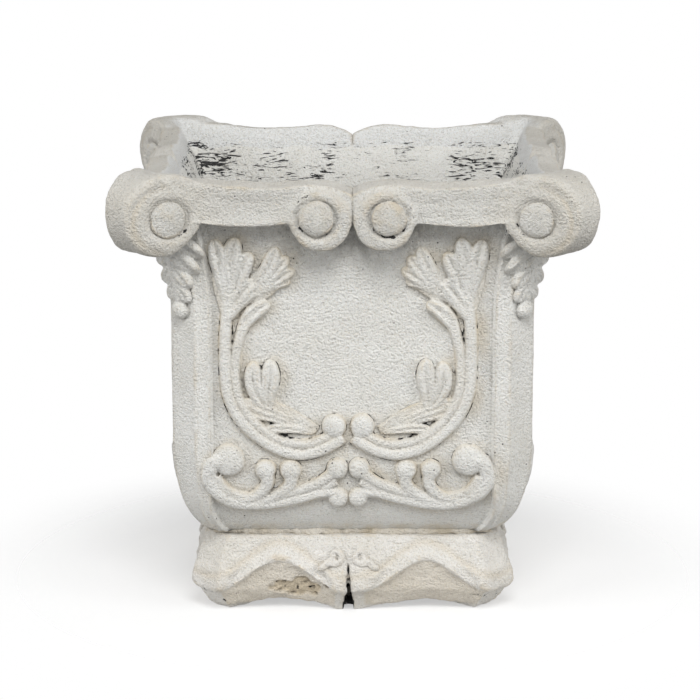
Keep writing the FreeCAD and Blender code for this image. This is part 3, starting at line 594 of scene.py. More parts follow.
def stroke_group():
    """Node group that turns curves into carved strokes with a profile, as wide as each point's radius."""
    group, given = new_group("carved stroke", Profile="Object", Outward="Vector", Step="Float",
                             Leaf="Float", Stone="Material")
    smooth = made(group, "GeometryNodeCurveSplineType", {"Curve": given["Geometry"]},
                  spline_type="CATMULL_ROM")
    even = made(group, "GeometryNodeResampleCurve", {"Curve": smooth, "Length": given["Step"]},
                mode="LENGTH")
    facing = made(group, "GeometryNodeSetCurveNormal", {"Curve": even, "Normal": given["Outward"]},
                  mode="FREE")
    along = add_node(group, "GeometryNodeSplineParameter").outputs["Factor"]
    swell = add_node(group, "ShaderNodeFloatCurve", {"Value": along})
    points = swell.mapping.curves[0].points
    for (x, y), point in zip(LEAF_WIDTHS, points):
        point.location = (x, y)
    for x, y in LEAF_WIDTHS[len(points):]:
        points.new(x, y)
    swell.mapping.update()
    stem = made(group, "ShaderNodeMix", {"Factor": given["Leaf"], 2: 1.0, 3: swell.outputs[0]})
    radius = made(group, "GeometryNodeInputRadius")
    width = made(group, "ShaderNodeMath", {0: radius, 1: stem}, operation="MULTIPLY")
    profile = add_node(group, "GeometryNodeObjectInfo", {"Object": given["Profile"]}).outputs["Geometry"]
    swept = made(group, "GeometryNodeCurveToMesh", {
        "Curve": facing, "Profile Curve": profile, "Scale": width, "Fill Caps": True})
    real = made(group, "GeometryNodeRealizeInstances", {"Geometry": swept})
    stone = made(group, "GeometryNodeSetMaterial", {"Geometry": real, "Material": given["Stone"]})
    add_node(group, "NodeGroupOutput", {"Geometry": stone})
    return group


strokes = stroke_group()
print("stroke inputs:", [s.name for s in strokes.interface.items_tree if s.in_out == "INPUT"])

# %% [markdown]
# A profile is a closed curve, one unit wide to each side, so a stroke is as wide as the radius of its
# points says. The bevel of a curve could sweep it too, but the node group also swells a leaf on its way
# and keeps its vein facing outward.

# %% carving tool
PROFILE_POINTS, PROFILE_ROUND, PROFILE_ROOT, VEIN_WIDTH = 40, 0.8, 0.6, 0.36
PROFILE_SHAPES = {"bead": (0.85, 0.0), "lobe": (0.85, 0.42), "blade": (0.15, 0.0), "skirt": (0.07, 0.0)}


def profile_curve(name, rise, vein):
    """Closed profile of a stroke, one unit wide to each side, that rises outward and may have a vein."""
    angles = np.linspace(0, 2 * math.pi, PROFILE_POINTS, endpoint=False)
    across, up = np.cos(angles), np.sin(angles)
    top = rise * np.clip(up, 0, None) ** PROFILE_ROUND - bead(across, vein, VEIN_WIDTH)
    height = np.where(up > 0, top, PROFILE_ROOT * up)
    curve = bpy.data.curves.new(name, "CURVE")
    curve.dimensions = "3D"
    spline = curve.splines.new("POLY")
    spline.points.add(len(angles) - 1)
    spline.use_cyclic_u = True
    for point, out, side in zip(spline.points, height, across):
        point.co = (out, side, 0, 1)
    return bpy.data.objects.new(name, curve)


PROFILES = {kind: profile_curve(f"{kind} profile", *shape) for kind, shape in PROFILE_SHAPES.items()}


def run_group(data, group, values):
    """Mesh that a node group makes of a mesh or curve, with named input values."""
    sockets = [item for item in group.interface.items_tree if item.in_out == "INPUT" and item.name in values]
    inputs = [(item.identifier, values[item.name]) for item in sockets]
    return modified(data, "NODES", inputs, node_group=group)


def carve(lines, profile, outward, lay, leaf=True):
    """Mesh of strokes. Each is its points on the stone and its half widths at both ends, in millimetres."""
    curve = bpy.data.curves.new("strokes", "CURVE")
    curve.dimensions = "3D"
    for points, first, last in lines:
        spline = curve.splines.new("POLY")
        spline.points.add(len(points) - 1)
        for i, (spot, point) in enumerate(zip(points, spline.points)):
            point.co = (*lay(*spot), 1.0)
            point.radius = (first + (last - first) * i / (len(points) - 1)) * MM
    values = {"Profile": PROFILES[profile], "Outward": tuple(outward), "Step": STROKE_STEP,
              "Leaf": float(leaf), "Stone": bowl_stone}
    return run_group(curve, strokes, values)


# %% [markdown]
# Balls, berries and eyes are bosses, round knobs that may be flattened. Each could be modelled by
# itself, but they differ only in place, size and direction. So a second node group puts one sphere at
# each spot and faces it outward.

# %% node group for bosses
def boss_group():
    """Node group that puts a sphere at each point, as large as its size and facing where it says."""
    group, given = new_group("bosses", Flatness="Float", Stone="Material")
    ball = add_node(group, "GeometryNodeMeshIcoSphere", {"Radius": 1.0, "Subdivisions": 4}).outputs["Mesh"]
    size = made(group, "GeometryNodeInputNamedAttribute", {"Name": "size"}, data_type="FLOAT")
    facing = made(group, "GeometryNodeInputNamedAttribute", {"Name": "facing"}, data_type="FLOAT_VECTOR")
    turn = made(group, "FunctionNodeAlignRotationToVector", {"Vector": facing}, axis="Z")
    rise = made(group, "ShaderNodeMath", {0: size, 1: given["Flatness"]}, operation="MULTIPLY")
    scale = made(group, "ShaderNodeCombineXYZ", {"X": size, "Y": size, "Z": rise})
    placed = made(group, "GeometryNodeInstanceOnPoints", {
        "Points": given["Geometry"], "Instance": ball, "Rotation": turn, "Scale": scale})
    real = made(group, "GeometryNodeRealizeInstances", {"Geometry": placed})
    stone = made(group, "GeometryNodeSetMaterial", {"Geometry": real, "Material": given["Stone"]})
    add_node(group, "NodeGroupOutput", {"Geometry": stone})
    return group


boss_nodes = boss_group()


def bosses(spots, flatness=1.0):
    """Mesh of bosses, each given by its middle, its size and the way it faces."""
    mesh = bpy.data.meshes.new("bosses")
    mesh.from_pydata([tuple(spot) for spot, _, _ in spots], [], [])
    size = mesh.attributes.new("size", "FLOAT", "POINT")
    size.data.foreach_set("value", [s for _, s, _ in spots])
    facing = mesh.attributes.new("facing", "FLOAT_VECTOR", "POINT")
    facing.data.foreach_set("vector", np.array([tuple(f) for _, _, f in spots], float).ravel())
    return run_group(mesh, boss_nodes, {"Flatness": flatness, "Stone": bowl_stone})


def joined(*meshes):
    """One mesh of several."""
    whole = bmesh.new()
    for mesh in meshes:
        whole.from_mesh(mesh)
    result = bpy.data.meshes.new("joined")
    whole.to_mesh(result)
    whole.free()
    return result


print("node groups:", [group.name for group in (strokes, boss_nodes)])

# %% [markdown]
# ## Acanthus and frieze scrolls
# Each side carries two mirrored halves: a scroll with acanthus leaves, and a frieze scroll with berries
# below it. A carver draws such work on the stone first, so the strokes of one half are drawn here, in
# millimetres from the middle of the side and from the ground. A stroke is its line and its half widths
# at both ends, and a ball its middle and its radius.

# %% strokes of the scrolls
ACANTHUS_STEMS = [
    ([(100, 284), (101.5, 270), (103, 250), (103.5, 230), (103, 212), (101, 197), (94.5, 181), (84, 168),
      (71, 157), (56, 149), (40, 146), (25, 149), (13, 155), (4, 161)], 5.0, 4.8),
    ([(79, 270), (87, 257), (92.5, 241), (94.6, 221), (93.6, 204), (90, 191),
      (82, 178), (71.5, 167.4), (59, 159), (46, 155.6), (32, 155.8), (19, 161), (10, 166)], 4.2, 3.6),
    ([(100, 266), (93, 274), (86, 281), (79, 287)], 5.0, 4.6),
]
ACANTHUS_LEAVES = [
    ([(101, 276), (104, 300), (108, 316), (112, 332)], 8.4, 8.4),
    ([(99, 276), (100, 302), (97, 318), (93, 334)], 8.6, 8.6),
    ([(98, 276), (92, 298), (87, 310), (81, 321)], 8.0, 8.0),
    ([(98, 268), (90, 284), (79, 297)], 7.2, 7.2),
    ([(79, 284), (70, 300), (64, 313), (59, 325)], 6.6, 6.6),
    ([(79, 284), (67, 298), (58, 308), (50, 317)], 6.4, 6.4),
    ([(79, 283), (66, 294), (56, 300), (45, 306)], 5.8, 5.8),
    ([(84, 281), (70, 289.5), (60, 293.5), (48, 295.5)], 4.6, 4.6),
    ([(92, 248), (85, 262), (77, 270.5), (65.5, 277.5)], 6.8, 6.8),
    ([(69, 186), (77.5, 200), (80.2, 213), (79, 227)], 7.4, 7.4),
    ([(67, 184), (67.2, 200), (65.2, 214), (66, 229)], 7.6, 7.6),
    ([(46, 174), (60, 181), (75, 187), (89, 194)], 4.6, 4.6),
    ([(50, 173), (61, 177), (73, 180), (84.5, 184.5)], 3.8, 3.8),
    ([(30, 165), (46, 168), (58, 168.6), (70, 168.4)], 4.2, 4.2),
]
ACANTHUS_BLADES = [
    ([(99, 264), (99, 286), (100, 304), (99, 320)], 14.0, 14.0),
    ([(88, 277), (72, 292), (63, 303), (55, 314)], 12.5, 12.5),
    ([(62, 180), (69, 194), (72, 206), (72.6, 216)], 9.0, 9.0),
    ([(26, 167), (46, 176), (60, 182), (76, 188)], 9.0, 9.0),
]
ACANTHUS_BALLS = [((11.8, 171), 10.4)]
FRIEZE_STEMS = [
    ([(106, 141), (115, 138), (118.5, 124), (111.5, 112.5), (100, 104.5), (87, 101), (66, 101.5), (41, 107),
      (24, 111.5), (9, 112)], 7.4, 4.2),
    ([(112, 126), (105, 116), (95, 109.5), (83, 108)], 4.6, 3.6),
    ([(98, 105), (83, 107), (73.5, 113), (68.6, 121), (69, 130)], 4.4, 6.0),
    ([(86, 102), (70, 105), (57, 112), (49.4, 120), (48.6, 130)], 4.4, 6.0),
    ([(78, 103), (58, 109), (41, 114.6), (26, 120.6), (11, 131)], 4.2, 4.8),
    ([(60, 103.5), (41, 109), (24, 115), (10, 122)], 3.2, 3.6),
]
FRIEZE_DOME = [((101.5, 141), 13.8)]
FRIEZE_BERRIES = [((70, 133), 9.0), ((49, 133), 9.2), ((9.2, 134), 9.2), ((8.4, 107.5), 8.4)]
DOME_FLATNESS, BERRY_FLATNESS = 0.42, 0.6
print("acanthus leaves:", len(ACANTHUS_LEAVES), "frieze stems:", len(FRIEZE_STEMS))

# %% [markdown]
# Dark dirt and painted shade sit in patches at the foot of the carving, and tan lies on the stone round
# it, partly dirt run from the carving and partly painted shade. Ambient occlusion could darken the foot,
# but too evenly. So the darkening follows the height above the panel and changes with noise. A thin
# skirt widens the foot and carries this dark paint, so the carving grows out of the stone.

# %% scroll tools
STROKE_LIFT, CREVICE, HALO_REACH = mm(1.6, 1.6, 5)
SKIRT, SKIRT_FLATNESS = 1.6, 0.05
FOOT_DIRT_AND_SHADE, FOOT_TAN, HALO_TAN = (0.5, 22, 0.42), (0.34, 18, 0.4), (0.2, 18, 0.36)


def at_panel(x, z, lift=0.0):
    """Place on the face of the front panel, or lifted off it."""
    return x * MM, PANEL_RECESS - lift - float(face_half(z * MM)), z * MM


def on_panel(x, z):
    """Middle line of a stroke on the front panel."""
    return at_panel(x, z, STROKE_LIFT)


def on_front(balls, flatness):
    """Bosses on the front panel."""
    return bosses([(on_panel(*spot), radius * MM, FRONT) for spot, radius in balls], flatness)


def patchy(points, share, grain, swing):
    """Share of dirt at each point, which swings from patch to patch."""
    return share + rough(points, (grain, swing))


def darken_foot(mesh, heights):
    """Let dark dirt and painted shade gather where the carving meets the stone below it."""
    points = mesh_arrays(mesh)[0]
    add_values(mesh, "tear_and_shade", patchy(points, *FOOT_DIRT_AND_SHADE) * (1 - step(heights, 0.4 * CREVICE, CREVICE)))
    tanned = np.clip(patchy(points, *FOOT_TAN), 0, 1)
    add_values(mesh, "warm", tanned * (1 - step(heights, CREVICE, 4 * CREVICE)))


def halo(points, carving):
    """Share of tan on the stone round the carving, on all four sides: dirt run from it, and painted shade.
    """
    tree = kdtree.KDTree(len(carving))
    for index, (x, _, z) in enumerate(carving):
        tree.insert((abs(x), 0, z), index)
    tree.balance()
    near = np.array([tree.find((x, 0, z))[2] for x, z in zip(along_side(points), points[:, 2])])
    return bead(near, np.clip(patchy(points, *HALO_TAN), 0, 1), HALO_REACH)


def skirt(stems, leaves, balls):
    """Thin fillet of dirt and painted shade on the panel round the foot of strokes and balls."""
    def widened(lines):
        return [(line, first + SKIRT, last + SKIRT) for line, first, last in lines]

    parts = [carve(widened(stems), "skirt", FRONT, at_panel, leaf=False)]
    parts += [carve(widened(leaves), "skirt", FRONT, at_panel)] if leaves else []
    spots = [(at_panel(*spot), (radius + SKIRT) * MM, FRONT) for spot, radius in balls]
    return parts + [bosses(spots, SKIRT_FLATNESS)]


# %% [markdown]
# Strokes cross and run through each other. A Boolean union of so many could fail, so each half side is
# fused by a voxel remesh and softened, as a cast from a worn mould is. Its copies, mirrored and turned,
# go to all four sides and are weathered where they land, so no two are quite alike.

# %% scrolls
STROKE_VOXEL, ORNAMENT_SHIFT = mm(0.86, -3.6)
CARVING_SKIP = 8
SCROLL_WEATHER = (30, 0.7), (9, 0.22), (3, 0.2)
SIDES = {"front": (0, "left", "right"), "right": (90, "front", "back"),
         "back": (180, "right", "left"), "left": (270, "back", "front")}
acanthus = remeshed(joined(carve(ACANTHUS_STEMS, "bead", FRONT, on_panel, leaf=False),
                           carve(ACANTHUS_LEAVES, "lobe", FRONT, on_panel),
                           carve(ACANTHUS_BLADES, "blade", FRONT, on_panel),
                           on_front(ACANTHUS_BALLS, BERRY_FLATNESS),
                           *skirt(ACANTHUS_STEMS, ACANTHUS_LEAVES, ACANTHUS_BALLS)), STROKE_VOXEL, 1)
frieze = remeshed(joined(carve(FRIEZE_STEMS, "bead", FRONT, on_panel, leaf=False),
                         on_front(FRIEZE_DOME, DOME_FLATNESS), on_front(FRIEZE_BERRIES, BERRY_FLATNESS),
                         *skirt(FRIEZE_STEMS, [], FRIEZE_DOME + FRIEZE_BERRIES)), STROKE_VOXEL, 1)
# Dark dirt and painted shade at the foot of each carving, and tan just above it.
for mesh in (acanthus, frieze):
    points = mesh_arrays(mesh)[0]
    darken_foot(mesh, PANEL_RECESS - face_half(points[:, 2]) - points[:, 1])
bowl_points, _, bowl_normals = mesh_arrays(bowl_mesh)
carving = np.vstack([mesh_arrays(mesh)[0][::CARVING_SKIP] for mesh in (acanthus, frieze)])
outside = outwardness(bowl_points, bowl_normals) > 0
# Tan round the carving on the bowl: dirt run from it, and painted shade.
add_values(bowl_mesh, "warm", halo(bowl_points, carving) * outside)
for side, (turn, left, right) in SIDES.items():
    for mirrored, end in ((True, left), (False, right)):
        for name, mesh in (("acanthus_scroll", acanthus), ("frieze_scroll", frieze)):
            copy = turned(mesh, turn, mirrored, ORNAMENT_SHIFT)
            weather(copy, *SCROLL_WEATHER)
            node = f"{name}_{side}_{end}"
            finish_piece(f"{node}.carved", copy, bowl_stone, "bowl_stone", node, full=CARVED_FULL)
print("acanthus faces:", len(acanthus.polygons), "frieze faces:", len(frieze.polygons))

# %% [markdown]
# ## Acanthus drops on the corners
# A drop hangs under each horn: pairs of lobes that fold back round the chamfer, and a rib that ends in
# a round tip. It could be a bent sheet, but it belongs to the same carving. So it is made of the same
# strokes, and one rule lays them round the corner.

# %% corner leaves
LEAF_TIP, LEAF_TOP = 262, 338
LEAF_PAIRS = [(10, 279, 6.0), (14, 292, 7.0), (20, 305, 7.8), (24, 319, 8.2)]
LEAF_HANG = 15
LEAF_SWELL = 9 * MM
LEAF_SWELL_HALF, TIP_RADIUS, TIP_FLATNESS = 30, 8.5, 0.8
LEAF_WEATHER = (9, 0.4), (3, 0.25)
CORNERS = {"front_right": 0, "back_right": 90, "back_left": 180, "front_left": 270}


def on_corner(side, z):
    """Middle line of a stroke on the front right corner, at millimetres to the side of the diagonal."""
    side, z = side * MM, z * MM
    flat = CHAMFER / ROOT_TWO
    out = ROOT_TWO * float(face_half(z)) - flat - max(0.0, abs(side) - flat) + STROKE_LIFT
    hang = (z / MM - LEAF_TIP) / (LEAF_TOP - LEAF_TIP)
    out += LEAF_SWELL * hang * max(0.0, 1 - abs(side / MM) / LEAF_SWELL_HALF)
    point = CORNERWARD * out + np.array((1.0, 1.0, 0.0)) / ROOT_TWO * side
    return point[0], point[1], z


lobes = []
for reach, height, width in LEAF_PAIRS:
    for hand in (1, -1):
        line = [(-1 * hand, height + LEAF_HANG), (0.4 * reach * hand, height + 0.75 * LEAF_HANG),
                (0.8 * reach * hand, height + 0.35 * LEAF_HANG), (reach * hand, height - 2)]
        lobes.append((line, width, width))
rib = [([(0, LEAF_TOP), (0, 315), (0, 290), (0, LEAF_TIP + 5)], 5.0, 4.0)]
tip = bosses([(on_corner(0, LEAF_TIP + TIP_RADIUS), TIP_RADIUS * MM, CORNERWARD)], TIP_FLATNESS)
carved = (carve(rib, "bead", CORNERWARD, on_corner, leaf=False), carve(lobes, "lobe", CORNERWARD, on_corner))
leaf = remeshed(joined(*carved, tip), STROKE_VOXEL, 1)
for corner, turn in CORNERS.items():
    copy = turned(leaf, turn)
    weather(copy, *LEAF_WEATHER)
    finish_piece(f"corner_leaf_{corner}.carved", copy, bowl_stone, "bowl_stone", f"corner_leaf_{corner}",
                 full=CARVED_FULL)
print("leaf faces:", len(leaf.polygons))

# %% [markdown]
# ## Eyes of the scrolls
# Worn buttons sit in the middle of the scrolls. Their places could be typed in, but the CAD eyes hold
# them already. So each solid is found in the CAD mesh, and the plane that fits it best gives the way it
# faces.

# %% eyes
EYE_WARM = 0.04
EYE_WEATHER = (15, 1.4), (7, 0.9), (3, 0.4)
EYE_NODES = {"centre_scroll_eyes": (14.4 * MM, 0.36), "corner_scroll_eyes": (15.2 * MM, 0.24)}


def solids_of(node):
    """Points of each separate solid of a CAD node, in the order of the node's points."""
    merged = bmesh.new()
    merged.from_mesh(cad_copy(node))
    left = {vert.index: vert for vert in merged.verts}
    found = []
    while left:
        pending, part = [left.pop(min(left))], []
        while pending:
            vert = pending.pop()
            part.append(vert.co.copy())
            others = [left.pop(edge.other_vert(vert).index, None) for edge in vert.link_edges]
            pending += [other for other in others if other]
        found.append(np.array(part))
    merged.free()
    return found


def flat_back(points):
    """Middle and outward direction of a dome, from the plane that fits its points best and its far side."""
    middle = (points.min(0) + points.max(0)) / 2
    normal = np.linalg.svd(points - points.mean(0))[2][2]
    heights = (points - middle) @ normal
    normal *= 1 if abs(np.median(heights) - heights.min()) > abs(heights.max() - np.median(heights)) else -1
    return middle, normal


eye_spots = {}
for node, (radius, flatness) in EYE_NODES.items():
    eye_spots[node] = []
    for points in solids_of(node):
        middle, normal = flat_back(points)
        normal = normal if normal @ (middle * (1, 1, 0)) > 0 else -normal
        base = middle + normal * ((points @ normal).min() - middle @ normal)
        eye_spots[node].append((base, radius, normal))
    eyes = bosses(eye_spots[node], flatness)
    weather(eyes, *EYE_WEATHER)
    add_values(eyes, "warm", np.full(len(eyes.vertices), EYE_WARM))
    finish_piece(f"{node}.worn", eyes, rim_stone, "bowl_stone", node)
print("eye faces:", len(eyes.polygons))

# %% [markdown]
# ## Rim
# The rim is four castings, each with a horned volute on its corner. It could be built anew, but its CAD
# shape is right. So it starts as that shape, fused into an even skin of small squares that carving and
# noise can move. The horns are worn round, and their lower inner quarter winds tighter, as a spiral
# does.

# %% horns
RIM_FACE = 177 * MM
HORN_RADIUS, HORN_TIGHTEN, HORN_SWELL = 35.5 * MM, 0.24, 1.2 * MM
HORN_START, HORN_FULL, HORN_ROUNDS = 206 * MM, 226 * MM, 42
HORN_UNDER, HORN_MARGIN = (5, 12), 2 * MM


def wear_horns(points, edges):
    """Round the horn and wind its lower inner quarter tighter, as a spiral does."""
    diagonal = (points[:, 0] - points[:, 1]) / ROOT_TWO
    weight = step(diagonal, HORN_START, HORN_FULL)[:, None]
    middle, height = diagonal.max() - HORN_RADIUS, RIM_TOP - HORN_RADIUS
    points = points + weight * (averaged(points, edges, HORN_ROUNDS) - points)
    points[:, :2] += weight * HORN_SWELL * np.sign(points[:, :2])
    x, y, z = points.T
    out, up = (x - y) / ROOT_TWO - middle, z - height
    near = step(-out, 0, HORN_RADIUS) * step_mm(-up, *HORN_UNDER)
    factor = HORN_TIGHTEN * (near * (np.hypot(out, up) < HORN_RADIUS + HORN_MARGIN))
    z -= factor * up
    x -= factor * out / ROOT_TWO
    y += factor * out / ROOT_TWO
    return points


# %% [markdown]
# A channel runs round each eye of a volute, and a ring winds under the eye and ends beside it. The
# front disc of a corner volute has a soft edge on the horn, a shadow is painted under each eye and broken
# up with noise, and a crack runs over each centre scroll. Cutting them with other shapes would leave
# hard edges, so each is a formula of the way from the eye.

# %% volutes
CHANNEL_START, CHANNEL_WIDTH, CHANNEL_DEPTH = mm(13.5, 2.5, 1.2)
CRACK_AWAY = 20 * MM
DISC_RADIUS, DISC_WIDTH, DISC_DEPTH = mm(28.5, 3.5, 1.3)
RING_MIDDLE, RING_WIDTH, RING_RISE = mm(20, 5.5, 2.2)
SHADOW_AWAY, SHADOW_DARK, SHADOW_WIDTH = 1.2 * MM, 0.75, 1.5 * MM
CRACK_DARK, CRACK_WIDTH, CRACK_BACK = 0.6, 1.3 * MM, 8 * MM
CHANNEL_EDGE, CHANNEL_FADE, RING_EDGE = mm(2, 3, 3)
RING_UNDER, RING_AHEAD, CHANNEL_AHEAD, DISC_AHEAD = (-6, 4), (-22, 4), (0, 12), (-4, 8)
SHADOW_UNDER, CRACK_AHEAD, CRACK_ABOVE = (-3, 6), (-6, 4), (-8, 4)
RING_LEFT_SHARE, RING_WOUND_SHARE, CHANNEL_CLOSED_SHARE = 0.45, 0.55, 0.75
SHADOW_BREAKS, SHADOW_BROKEN = (8, 1.0), (-0.2, 0.15)
FRONTWARD = -0.7


def front_eye(node):
    """Place along the front and height of the eye on the right half of the front."""
    x, _, z = [spot for spot, _, facing in eye_spots[node] if spot[0] > 0 and facing[1] < FRONTWARD][0]
    return x, z


def volute(along, z, eye, hand):
    """Relief of a volute round its eye. Its band lies towards the given hand."""
    u, v = hand * (along - eye[0]), z - eye[1]
    away = np.hypot(u, v)
    under = step_mm(-v, *RING_UNDER) * step(away, CHANNEL_START, CHANNEL_START + CHANNEL_EDGE)
    ring = bead(away - RING_MIDDLE, RING_RISE, RING_WIDTH)
    ring *= step(away, CHANNEL_START, CHANNEL_START + RING_EDGE)
    ring *= RING_LEFT_SHARE + RING_WOUND_SHARE * under * step_mm(u, *RING_AHEAD)
    channel_end = CHANNEL_START + CHANNEL_WIDTH
    channel = CHANNEL_DEPTH * step(away, CHANNEL_START - CHANNEL_EDGE, CHANNEL_START)
    channel *= 1 - step(away, channel_end, channel_end + CHANNEL_FADE)
    return ring - channel * (1 - CHANNEL_CLOSED_SHARE * under * step_mm(u, *CHANNEL_AHEAD))


def round_eye(points, node):
    """Way of each point along and up from the nearest eye, on the front of its side."""
    eye = front_eye(node)
    return along_side(points) - eye[0], points[:, 2] - eye[1]


def disc_edge(points):
    """Where the edge of the front disc of a corner volute runs, on the side of the horn."""
    u, v = round_eye(points, "corner_scroll_eyes")
    return bead(np.hypot(u, v) - DISC_RADIUS, 1.0, DISC_WIDTH) * step_mm(u, *DISC_AHEAD)


def eye_shadow(points):
    """Where a shadow is painted under an eye, as a dark crescent broken up here and there by noise."""
    shadow = 0
    for node, (radius, _) in EYE_NODES.items():
        u, v = round_eye(points, node)
        ring = bead(np.hypot(u, v) - radius - SHADOW_AWAY, SHADOW_DARK, SHADOW_WIDTH)
        shadow = shadow + ring * step_mm(-v, *SHADOW_UNDER)
    return shadow * step(rough(points, SHADOW_BREAKS), *SHADOW_BROKEN)


def cracked(points):
    """Where a crack runs over the centre scrolls, between their rings and the bands."""
    u, v = round_eye(points, "centre_scroll_eyes")
    line = bead(np.hypot(u, v) - CRACK_AWAY, CRACK_DARK, CRACK_WIDTH)
    line *= step_mm(u, *CRACK_AHEAD) * step_mm(v, *CRACK_ABOVE)
    return line * (reach_of(points) > RIM_FACE - CRACK_BACK)


# %% [markdown]
# The band between two eyes is hollowed, and its lower edge sags. A sloping bed fills the pockets round
# the centre eyes. The top leans outward and rises in a long slope to the horns. A lattice could bend it
# so, but a few lines over the points say exactly where each change starts and ends.

# %% shape of the rim
BAND_LOW = BED_HEIGHT - 8 * MM
BAND_START, BAND_END = mm(46, 134)
LIP_HEIGHT, BAND_HOLLOW, BAND_SAG, TOP_LEAN = mm(9, 1.8, 3.6, 3.6)
SLOPE_PLACES, SLOPE_RISES = (0, 60, 100, 118, 138, 152), (2.4, 3.0, 4.5, 4.2, 0.8, -2.2)
POCKET_REACH, POCKET_DEPTH, POCKET_SLOPE = 17 * MM, 2.4 * MM, 0.5
POCKET_SPREAD, POCKET_BACK = 1.5, 16 * MM
THROAT_ROUNDS, RIM_SOFT_ROUNDS = 14, 2
THROAT_RING, THROAT_BACK, THROAT_AHEAD, THROAT_UNDER = mm(10, 13, 22, 27), 14 * MM, (0, 6), (5, 9)
BAND_FADE, LIP_OVER, LIP_UNDER, VOLUTE_PAST, VOLUTE_BEFORE = mm(8, 6, 5, 10, 16)
HOLLOW_FOOT, TOP_EDGE = (0, 7), (3, 7)
SAG_ENDS, SAG_FOOT, SAG_DEPTHS = 1.3, (0, 9), (140, 160)
LEAN_BACK, LEAN_LOW, LEAN_FULL, LEAN_FADE, LEAN_END = mm(26, 4, 14, 30, 10)
SLOPE_SHARES, FACING_SPAN = (0.35, 0.85), (0.25, 0.7)
CARVED_BACK, CARVED_FACE, PROBE_BACK, PROBE_MARGIN = mm(14, 8, 8, 2)
PROBE_COUNT = 90
DOWN = Vector((0, 0, -1))
band_places = np.linspace(PROBE_MARGIN, RIM_FACE - PROBE_MARGIN, PROBE_COUNT)
band_tops = np.array([rim_tree.ray_cast(Vector((x, PROBE_BACK - RIM_FACE, OUTSIDE)), DOWN)[0].z
                      for x in band_places])


def band_relief(points, along, below_top, above_low):
    """Hollow of the band, the volutes at its ends and the edge of the corner disc."""
    on_band = between(along, BAND_START - BAND_FADE, BAND_START, BAND_END - BAND_FADE, BAND_END)
    under_lip = step(below_top, LIP_HEIGHT - LIP_OVER, LIP_HEIGHT + LIP_UNDER)
    change = -BAND_HOLLOW * on_band * under_lip * step_mm(above_low, *HOLLOW_FOOT)
    under_top = step_mm(below_top, *TOP_EDGE)
    at_centre, at_corner = along < BAND_START + VOLUTE_PAST, along > BAND_END - VOLUTE_BEFORE
    for place, node, hand in ((at_centre, "centre_scroll_eyes", 1), (at_corner, "corner_scroll_eyes", -1)):
        change += np.where(place, volute(along, points[:, 2], front_eye(node), hand) * under_top, 0)
    return change - DISC_DEPTH * disc_edge(points)


def fill_pockets(points, edges, front, along, depth, below_top):
    """Fill the pockets round a centre eye with a sloping bed, and smooth the throat of its volute."""
    centre = front_eye("centre_scroll_eyes")
    away = np.hypot(along - centre[0], points[:, 2] - centre[1])
    bed = RIM_FACE - POCKET_DEPTH - POCKET_SLOPE * np.clip(away - POCKET_REACH, 0, None)
    fill = np.clip(bed - depth, 0, None) * (away < POCKET_SPREAD * POCKET_REACH)
    fill *= depth > RIM_FACE - POCKET_BACK
    points[:, 1] -= np.where(front, fill, 0)
    points[:, 0] += np.where(front, 0, fill)
    throat = between(away, *THROAT_RING) * step_mm(along - centre[0], *THROAT_AHEAD)
    throat *= (depth > RIM_FACE - THROAT_BACK) * step_mm(below_top, *THROAT_UNDER)
    points += throat[:, None] * (averaged(points, edges, THROAT_ROUNDS) - points)


def shape_edges(points, along, depth, above_low, tops):
    """Sag the lower edge of the band, lean the top outward and slope it to the horn."""
    z = points[:, 2]
    middle = (BAND_START + BAND_END) / 2
    ends = np.clip(((along - middle) / (BAND_END - middle)) ** 2, 0, 1)
    sag = BAND_SAG * (1 - SAG_ENDS * ends) * (1 - step_mm(above_low, *SAG_FOOT))
    z -= sag * (along > BAND_START) * (along < BAND_END) * step_mm(depth, *SAG_DEPTHS)
    lean = step(depth, RIM_FACE - LEAN_BACK, RIM_FACE)
    lean *= step(z, BED_HEIGHT + LEAN_LOW, BED_HEIGHT + LEAN_FULL)
    z -= TOP_LEAN * lean * (1 - step(along, BAND_END - LEAN_FADE, BAND_END + LEAN_END))
    rise = np.interp(along / MM, SLOPE_PLACES, SLOPE_RISES) * MM
    z += rise * step(above_low / (tops - BAND_LOW), *SLOPE_SHARES)


def carve_rim(mesh):
    """Wear the horns, carve the band and the volutes, and shape the edges of a rim casting."""
    points, edges, _ = mesh_arrays(mesh)
    set_points(mesh, wear_horns(points, edges))
    points, edges, normals = mesh_arrays(mesh)
    front = -points[:, 1] > points[:, 0]
    along = np.where(front, points[:, 0], -points[:, 1])

    def outward(values):
        return np.where(front, -values[:, 1], values[:, 0])

    tops = np.interp(along, band_places, band_tops)
    below_top, above_low = tops - points[:, 2], points[:, 2] - BAND_LOW
    facing = step(outward(normals), *FACING_SPAN)
    facing *= step(outward(points), RIM_FACE - CARVED_BACK, RIM_FACE - CARVED_FACE)
    points += normals * (band_relief(points, along, below_top, above_low) * facing)[:, None]
    depth = outward(points)
    fill_pockets(points, edges, front, along, depth, below_top)
    shape_edges(points, along, depth, above_low, tops)
    set_points(mesh, averaged(points, edges, RIM_SOFT_ROUNDS))
